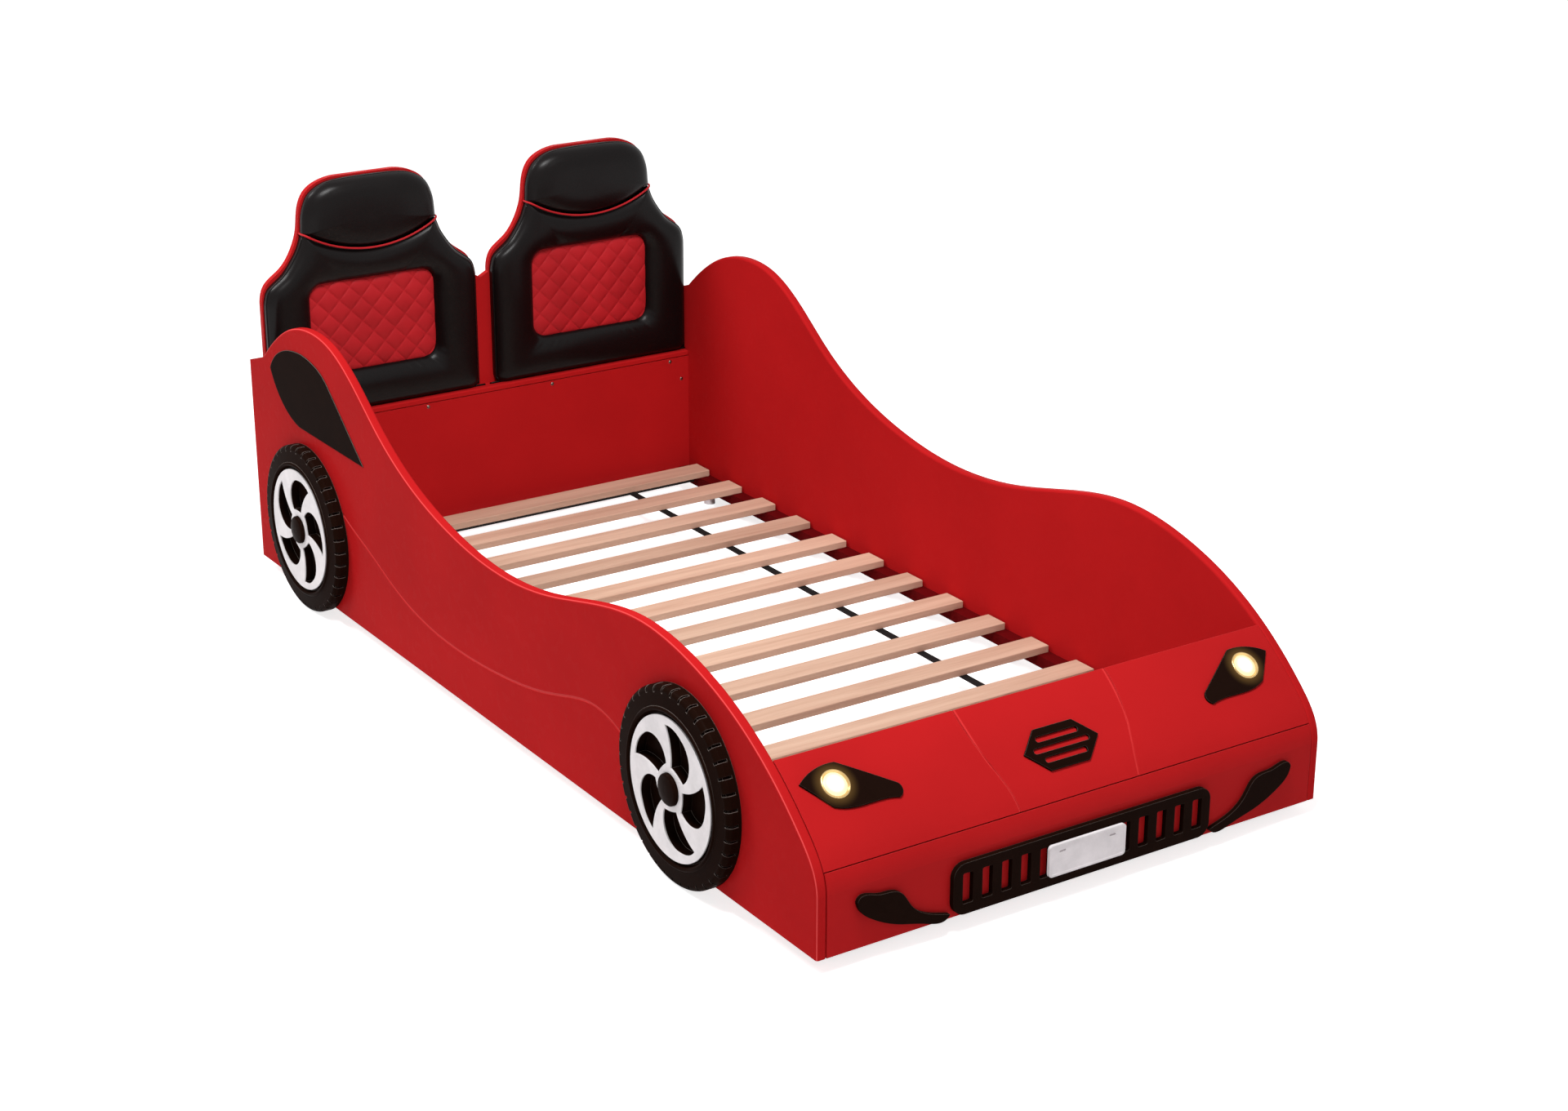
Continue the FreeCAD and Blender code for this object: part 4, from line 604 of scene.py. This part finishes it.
def lit_by_lamp(material, inner, outer, near, far, strength):
    """Give a material an emission that runs from one colour to another with distance."""
    tree, shader = principled(material)
    glow = tree.nodes.new("ShaderNodeGroup")
    glow.node_tree = lamp_glow
    glow.inputs["Inner"].default_value = inner
    glow.inputs["Outer"].default_value = outer
    tree.links.new(blend_colour(tree, glow.outputs["Fade"], far, near),
                   shader.inputs["Emission Color"])
    shader.inputs["Emission Strength"].default_value = strength
    return material


# painted glow: the bezel is no lamp, the lens's light on it is painted as emission
bezel_black = lit_by_lamp(
    finish("bezel_black", moulded_skin, {"Colour": BLACK, "Roughness": 0.26}, 0.05,
           edge=0.0012, edge_highlight_colour=LIT_BLACK, Specular_IOR_Level=0.012),
    0.019, 0.044, (0.120, 0.066, 0.018, 1), (0, 0, 0, 1), 1.0)
lit_lens = lit_by_lamp(
    finish("lit_lens", moulded_skin, {"Colour": (0.75, 0.68, 0.5, 1), "Roughness": 0.15},
           0.02, Specular_IOR_Level=0.4),
    0.0070, 0.0185, (1.0, 0.97, 0.84, 1), (0.42, 0.24, 0.06, 1), 1.2)
# painted reflection: the reflector's glow stands in for the lens's light that it reflects
reflector = lit_by_lamp(reflector, 0.017, 0.028, (0.50, 0.29, 0.08, 1),
                        (0.06, 0.03, 0.01, 1), 0.8)
print("glow around x, y, z =", LAMP)

# %% [markdown]
# ### Which node gets which finish
# Every board, wheel and trim piece of the frame keeps its shape and gets its finish here,
# by the beginning of its name.

# %% Dress the frame
DRESS = {
    "side_panel": panel_lacquer, "headboard_": red_lacquer, "hood_panel": hood_lacquer,
    "bumper_panel": red_lacquer, "footboard": red_lacquer, "hood_rib": dark_red,
    "side_cleat": dark_red, "slats": pine, "cross_cleat": black_bar, "lining_battens": pine,
    "side_window": window_black, "headlight_bezel": bezel_black, "hood_vent": black_gloss,
    "grille": black_gloss, "air_intake": black_gloss, "number_plate": plate_white,
    "tyre_": tyre_black, "rim_": rim_white, "hub_cap": black_gloss,
    "slat_strap": webbing, "lamp_housing": reflector, "lamp_lens": lit_lens,
    "battery_box": control_black, "battery_lid": control_black, "rocker_switch": switch_red,
    "battery_cells": cell_wrap, "lamp_leads": lead_cover, "corner_brackets": zinc,
    "bracket_screws": zinc, "lining_screws": dark_screw, "floor_glides": plate_white,
}


def dress(obj, material):
    """Give every material slot of an object one material."""
    if not obj.material_slots:
        obj.data.materials.append(material)
    for slot in obj.material_slots:
        slot.material = material


undressed = []
for name, obj in nodes.items():
    kinds = [key for key in DRESS if name.startswith(key)]
    if kinds:
        dress(obj, DRESS[kinds[0]])
    else:
        undressed.append(name)
print("nodes that new pieces will stand for:", sorted(undressed))

# %% [markdown]
# ## Surfaces from arrays
# New pieces are grids of points worked out with numpy.  A grid that closes on itself is a
# tube or a ring; a grid whose last row shrinks to one point is a dome.  Doubled points
# are merged and the normals are turned outwards before a piece is used.


# %% Mesh from a grid
def grid_faces(rows, columns, wrap_rows, wrap_columns, first=0):
    """Four corners for each cell of a grid, as an array of point numbers."""
    i = np.arange(rows if wrap_rows else rows - 1)
    j = np.arange(columns if wrap_columns else columns - 1)
    a, b = np.meshgrid(i, j, indexing="ij")
    a2, b2 = (a + 1) % rows, (b + 1) % columns
    cells = np.stack([a * columns + b, a2 * columns + b, a2 * columns + b2, a * columns + b2],
                     axis=-1)
    return cells.reshape(-1, 4) + first


def make_piece(name, grids, material):
    """One object that rides on the bed, from (points, wrap_rows, wrap_columns) for each
    grid, with points as rows x columns x 3."""
    points, faces, first = [], [], 0
    for grid, wrap_rows, wrap_columns in grids:
        points.append(grid.reshape(-1, 3))
        faces.append(grid_faces(grid.shape[0], grid.shape[1], wrap_rows, wrap_columns, first))
        first += grid.shape[0] * grid.shape[1]
    mesh = bpy.data.meshes.new(name)
    mesh.from_pydata(np.concatenate(points).tolist(), [], np.concatenate(faces).tolist())
    work = bmesh.new()
    work.from_mesh(mesh)
    bmesh.ops.remove_doubles(work, verts=work.verts, dist=1e-6)
    bmesh.ops.dissolve_degenerate(work, edges=work.edges, dist=1e-7)
    bmesh.ops.recalc_face_normals(work, faces=work.faces)
    work.to_mesh(mesh)
    work.free()
    mesh.polygons.foreach_set("use_smooth", np.ones(len(mesh.polygons), bool))
    mesh.materials.append(material)
    piece = bpy.data.objects.new(name, mesh)
    scene.collection.objects.link(piece)
    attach(piece, "bed")
    return piece


def spaced(points, count, endpoint=True):
    """A chain of points sampled again at even steps of its length."""
    steps = np.linalg.norm(np.diff(points, axis=0), axis=1)
    length = np.concatenate([[0], np.cumsum(steps)])
    wanted = np.linspace(0, length[-1], count, endpoint=endpoint)
    return np.stack([np.interp(wanted, length, values) for values in points.T], 1)


def smooth_through(points, count):
    """Cubic (Catmull-Rom) curve through points, sampled evenly by its length."""
    points = np.asarray(points, float)
    chain = np.vstack([2 * points[0] - points[1], points, 2 * points[-1] - points[-2]])
    share = np.linspace(0, 1, 24, endpoint=False)[:, None]
    runs = []
    for p0, p1, p2, p3 in zip(chain, chain[1:], chain[2:], chain[3:]):
        runs.append(0.5 * (2 * p1 + (p2 - p0) * share
                           + (2 * p0 - 5 * p1 + 4 * p2 - p3) * share**2
                           + (3 * p1 - p0 - 3 * p2 + p3) * share**3))
    return spaced(np.vstack(runs + [chain[-2:-1]]), count)


# %% Tube along a path
def tube(path, radius, sides=12):
    """Round tube: a circle that travels along the path, kept square to it and carried on
    without twist, with both ends drawn to a point."""
    ahead = np.vstack([path[1] - path[0], path[2:] - path[:-2], path[-1] - path[-2]])
    ahead /= np.linalg.norm(ahead, axis=1, keepdims=True)
    side = np.cross(ahead, (0.0, 1.0, 0.0))
    weak = np.linalg.norm(side, axis=1) < 0.2
    side[weak] = np.cross(ahead[weak], (0.0, 0.0, 1.0))
    side /= np.linalg.norm(side, axis=1, keepdims=True)
    for k in range(1, len(side)):
        carried = side[k - 1] - ahead[k] * np.dot(side[k - 1], ahead[k])
        side[k] = carried / np.linalg.norm(carried)
    upward = np.cross(side, ahead)
    turn = np.linspace(0, 2 * math.pi, sides, endpoint=False)
    ring = (path[:, None] + radius * (np.cos(turn)[None, :, None] * side[:, None]
                                      + np.sin(turn)[None, :, None] * upward[:, None]))
    first, last = (np.repeat(end[:, None], sides, 1) for end in (path[:1], path[-1:]))
    return np.concatenate([first, ring, last], axis=0)


# %% [markdown]
# ## Seat backs
# Each seat back is foam on the headboard under imitation leather: a thick black frame
# that swells around a sunk red panel, and a fuller headrest above it, with red piping in
# the seam between them.  The frame is a ring: at each place round it the same section
# climbs the side band, rolls over a welt, crowns, and dives down to the red panel.

# %% Outline of a seat
PAD_HALF, PAD_LOW, CORNER = 0.243, 0.3105, 0.018
SEAM_END, SEAM_DIP, SEAM_HALF = 0.706, 0.662, 0.152
INSERT_HALF, INSERT_LOW, INSERT_HIGH, INSERT_CORNER = 0.144, 0.398, 0.594, 0.030
# (x, z) up the right-hand side of the frame, and on round the headrest to its top
PAD_SIDE = [(0.2430, 0.520), (0.2430, 0.552), (0.2415, 0.574), (0.2320, 0.598),
            (0.1960, 0.627), (0.1670, 0.667), (0.1530, 0.700)]
HEAD_SIDE = [(0.1515, 0.712), (0.1470, 0.752), (0.1310, 0.786), (0.0980, 0.806),
             (0.0580, 0.8120), (0.0, 0.8132)]


def mirrored(points):
    """The same points on the other side, in reverse order."""
    return [(-x, z) for x, z in reversed(points)]


def round_corner(cx, cz, radius, start, stop, count=7):
    """Points on a corner arc, angles in degrees."""
    angle = np.radians(np.linspace(start, stop, count))
    return [(cx + radius * math.cos(a), cz + radius * math.sin(a)) for a in angle]


def seam_points(count, half=SEAM_HALF, lift=0.0):
    """Seam under the headrest: a circle's arc through both ends and the dip."""
    sag = SEAM_END - SEAM_DIP
    radius = (SEAM_HALF**2 + sag**2) / (2 * sag)
    x = np.linspace(half, -half, count)
    return [(v, SEAM_DIP + lift + radius - math.sqrt(radius**2 - v * v)) for v in x]


def resample(points, count):
    """Closed outline as evenly spaced points, starting at its first point."""
    points = np.asarray(points, float)
    return spaced(np.vstack([points, points[:1]]), count, endpoint=False)


SEAM_GAP = 0.0012                             # each cushion ends this far from the seam
right_corner = round_corner(PAD_HALF - CORNER, PAD_LOW + CORNER, CORNER, -90, 0)
left_corner = round_corner(-PAD_HALF + CORNER, PAD_LOW + CORNER, CORNER, 180, 270)
pad_outline = (
    right_corner
    + smooth_through(PAD_SIDE, 40).tolist()
    + seam_points(30, SEAM_HALF, -SEAM_GAP)
    + mirrored(smooth_through(PAD_SIDE, 40).tolist())
    + left_corner
)
insert_middle = np.array([0.0, (INSERT_LOW + INSERT_HIGH) / 2])
print("pad outline:", len(pad_outline), "points")


# %% [markdown]
# The outer outline and the opening are matched by the direction in which each point lies
# from the middle of the opening, so that the section runs straight outwards everywhere.

# %% Match the outline and the opening
def rounded_opening(angle, grow=0.0):
    """Where a ray at this angle leaves the opening: a rectangle with round corners."""
    half_x = INSERT_HALF + grow
    half_z = (INSERT_HIGH - INSERT_LOW) / 2 + grow
    radius = INSERT_CORNER + grow
    corners = []
    for turn, (sx, sz) in enumerate(((1, 1), (-1, 1), (-1, -1), (1, -1))):
        corners += round_corner(sx * (half_x - radius), sz * (half_z - radius), radius,
                                turn * 90, turn * 90 + 90, 24)
    edge = resample(corners, 2000)
    bearing = np.arctan2(edge[:, 1], edge[:, 0])
    reach = np.interp(angle, bearing, np.linalg.norm(edge, axis=1), period=2 * math.pi)
    return insert_middle + reach[..., None] * np.stack([np.cos(angle), np.sin(angle)], -1)


RING_COUNT = 320
outer_ring = resample(pad_outline, RING_COUNT)
from_middle = outer_ring - insert_middle
inner_ring = rounded_opening(np.arctan2(from_middle[:, 1], from_middle[:, 0]))

# 1 along the seam, where the frame tucks under the headrest; 0 from a little past its ends
seam_share = (np.clip((outer_ring[:, 1] - (SEAM_DIP - 0.007)) / 0.006, 0, 1)
              * np.clip((SEAM_HALF + 0.0005 - np.abs(outer_ring[:, 0])) / 0.010, 0, 1))
print("ring points on the seam:", int((seam_share > 0.5).sum()), "of", RING_COUNT)

# section of the frame: share of the way from the outline to the opening, height in mm
FRAME_SECTION = np.array([
    (0.000, 0.0), (-0.004, 5.0), (-0.008, 10.0), (-0.004, 15.0), (0.010, 19.0),
    (0.040, 23.5), (0.090, 28.0), (0.170, 32.0), (0.290, 34.6), (0.430, 35.5),
    (0.580, 35.0), (0.710, 33.0), (0.820, 29.5), (0.900, 25.0), (0.955, 20.0),
    (0.985, 15.0), (1.000, 10.0), (1.000, 3.0)])
# a whole share counts as a tenth of a metre while the curve is sampled evenly by length,
# and the heights become metres
SECTION_SCALE = (0.1, 0.001)
section = smooth_through(FRAME_SECTION * SECTION_SCALE, 64) / (0.1, 1.0)


def seat_place(xz, height, sign):
    """From the seat's own outline and height to the bed's coordinates."""
    xz = np.asarray(xz, float)
    depth = HEAD_FACE - height + np.zeros(xz.shape[:-1])
    return np.stack([xz[..., 0] + sign * SEAT_CENTRE, depth, xz[..., 1] + BASE], axis=-1)


SEAM_FACE = 0.0275                            # height of the frame under the headrest
GATHER_DEPTH, SWELL_DEPTH = 0.0007, 0.0009


def pad_frame(side, sign):
    """Frame of the seat back: outline(t) + share * (opening(t) - outline(t)), raised by
    the section, levelled along the seam, gathered at the opening's corners, and swelling a
    little by a product of slow sines."""
    share = section[None, :, 0]
    height = np.repeat(section[None, :, 1], RING_COUNT, 0)
    spot = outer_ring[:, None] + share[..., None] * (inner_ring - outer_ring)[:, None]
    flat_seam = seam_share[:, None] * np.clip(1 - share / 0.22, 0, 1) ** 2
    height = np.where(height < 0.0005, height, height + flat_seam * (SEAM_FACE - height))
    turn = np.arctan2(spot[..., 1] - insert_middle[1], spot[..., 0])
    gather = np.exp(-((share - 0.86) / 0.10) ** 2) * np.abs(np.sin(2 * turn)) ** 6
    ripple = np.sin(turn * 58.0) * 0.5 + np.sin(turn * 97.0 + 1.3) * 0.3
    height = height + GATHER_DEPTH * gather * ripple
    slow = (np.sin(spot[..., 0] * 31.0 + sign) * np.sin(spot[..., 1] * 27.0 + 0.7)
            * np.sin(np.pi * np.clip(share, 0, 1)))
    height = height + SWELL_DEPTH * slow
    piece = make_piece("seat_frame_" + side, [(seat_place(spot, height, sign), True, True)],
                       black_leather)
    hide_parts("back_pad_" + side)
    return piece


# %% [markdown]
# The headrest is a dome over its outline: every point of the outline moves towards the
# middle while the surface climbs, steeply at first and then hardly at all.

# %% Headrest
head_outline = (smooth_through(HEAD_SIDE, 40).tolist()
                + mirrored(smooth_through(HEAD_SIDE, 40).tolist())[1:]
                + list(reversed(seam_points(30, SEAM_HALF, SEAM_GAP))))
# share of the way from the outline to the middle, height in mm
HEAD_SECTION = np.array([
    (0.0, 0.0), (-0.012, 6.0), (-0.018, 12.0), (-0.010, 18.0), (0.020, 24.0),
    (0.070, 30.0), (0.150, 35.5), (0.270, 39.5), (0.450, 42.3), (0.700, 43.4),
    (1.0, 43.8)])
HEAD_BACK = [(1.0, 0.0), (0.5, 0.0)]          # the flat back, from the middle outwards
head_middle = np.array([0.0, 0.738])
print("headrest %.0f mm thick" % HEAD_SECTION[-1, 1])


def headrest(side, sign):
    """Headrest: outline(t) + share * (middle - outline(t)), raised by the section, with a
    slow sine across its front."""
    ring = resample(head_outline, 240)
    front = smooth_through(HEAD_SECTION * SECTION_SCALE, 56) / (0.1, 1.0)
    steps = np.vstack([HEAD_BACK, front])
    share, height = steps[None, :, 0], np.repeat(steps[None, :, 1], len(ring), 0)
    spot = ring[:, None] + share[..., None] * (head_middle - ring)[:, None]
    spread = 1 - np.clip(np.abs(spot[..., 0]) / 0.15, 0, 1) ** 4
    wave = np.sin(spot[..., 0] * 38.0 + sign * 0.8)
    swell = 0.0012 * wave * np.clip(share, 0, 1) * spread
    height = height + np.where(height > 0.02, swell, 0.0)
    piece = make_piece("headrest_cover_" + side,
                       [(seat_place(spot, height, sign), True, False)],
                       black_leather)
    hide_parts("headrest_" + side)
    return piece


# %% [markdown]
# The red panel is quilted: stitch lines cross at right angles, and between them the foam
# pushes each diamond up like a small cushion.  The height of a point is the product of
# two rounded waves, one for each set of lines; where either wave is at a line, the
# surface is sewn down.

# %% Quilted panel
QUILT_WIDE, QUILT_TALL, QUILT_DEPTH = 0.0500, 0.0520, 0.0040
QUILT_X, QUILT_Z = -0.003, 0.005              # middle of one diamond, from the panel's
PANEL_COLUMNS, PANEL_ROWS = 260, 190
TUCK = 0.004                                  # the panel reaches this far under the frame
print("quilting: %.1f diamonds across" % (2 * INSERT_HALF / QUILT_WIDE))


def quilt_height(x, z):
    """Puff of the quilting: |cos| across each of two crossing sets of lines, multiplied
    and raised to a small power."""
    across, up = (x - QUILT_X) / QUILT_WIDE, (z - QUILT_Z) / QUILT_TALL
    wave_u = np.abs(np.cos(np.pi * (across + up)))
    wave_v = np.abs(np.cos(np.pi * (across - up)))
    return QUILT_DEPTH * (wave_u * wave_v + 1e-9) ** 0.42


def quilted_panel(side, sign):
    """Red panel: a grid drawn in at its corners, puffed by the quilting and by its middle,
    and closed by the same grid laid flat on the board."""
    reach_x = INSERT_HALF + TUCK
    reach_z = (INSERT_HIGH - INSERT_LOW) / 2 + TUCK
    a, b = np.meshgrid(np.linspace(-1, 1, PANEL_COLUMNS), np.linspace(-1, 1, PANEL_ROWS),
                       indexing="ij")
    x, z = reach_x * a, reach_z * b
    out = np.maximum(np.abs(a), np.abs(b))
    bearing = np.arctan2(z, x)
    limit = np.linalg.norm(rounded_opening(bearing, TUCK) - insert_middle, axis=-1)
    square = np.hypot(x, z) / np.maximum(out, 1e-6)
    pull = 1 - out**8 * (1 - np.minimum(limit / np.maximum(square, 1e-6), 1))
    x, z = x * pull, z * pull
    crown = (1 - a**4) * (1 - b**4)
    height = 0.0115 + 0.0055 * crown + quilt_height(x, z) * (1 - out**24)
    height = np.where(out > 0.9999, 0.002, height)
    spot = np.stack([x, z + insert_middle[1]], -1)
    front = seat_place(spot, height, sign)
    rear = seat_place(spot, np.full_like(height, 0.002), sign)
    piece = make_piece("quilted_panel_" + side, [(front, False, False), (rear, False, False)],
                       red_leather)
    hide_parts("quilted_insert_" + side)
    return piece


# %% [markdown]
# Piping is a thin cord wrapped in leather and sewn into the seam.  It starts at the board
# on one side, comes round the pad's edge, dips with the seam, and goes back to the board.

# %% Piping and welts
PIPING_RADIUS, WELT_RADIUS = 0.0022, 0.0021


def piping(side, sign):
    """Red piping in the seam under the headrest, as a tube with its ends at the board."""
    across = np.array(seam_points(26, SEAM_HALF - 0.007))
    height = np.full(len(across), 0.0325)
    height[0] = height[-1] = 0.0310
    # (x, z, height) from the board round the pad's edge to the seam
    rise = np.array([(SEAM_HALF + 0.0020, SEAM_END, 0.002),
                     (SEAM_HALF + 0.0026, SEAM_END, 0.012),
                     (SEAM_HALF + 0.0022, SEAM_END, 0.019),
                     (SEAM_HALF - 0.0010, SEAM_END - 0.001, 0.0265)])
    run = np.vstack([rise, np.column_stack([across, height]), (rise * (-1, 1, 1))[::-1]])
    path = smooth_through(seat_place(run[:, :2], run[:, 2], sign), 150)
    piece = make_piece("red_piping_" + side, [(tube(path, PIPING_RADIUS), False, True)],
                       red_leather)
    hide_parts("headrest_piping_" + side)
    return piece


def welt(name, outline, height, sign):
    """Black welt where the side band meets the front of a pad: a tube along its edge."""
    path = smooth_through(seat_place(np.asarray(outline), height, sign), 220)
    return make_piece(name, [(tube(path, WELT_RADIUS, 10), False, True)],
                      black_leather)


frame_side = smooth_through(PAD_SIDE, 30).tolist()
head_side = smooth_through(HEAD_SIDE, 30).tolist()
frame_edge = mirrored(frame_side) + left_corner + right_corner + frame_side
head_edge = head_side + mirrored(head_side)[1:]
for side, sign in SEATS:
    new = [pad_frame(side, sign), headrest(side, sign), quilted_panel(side, sign),
           piping(side, sign), welt("pad_welt_" + side, frame_edge, 0.0155, sign),
           welt("head_welt_" + side, head_edge, 0.0165, sign)]
    print(side, {piece.name: len(piece.data.polygons) for piece in new})
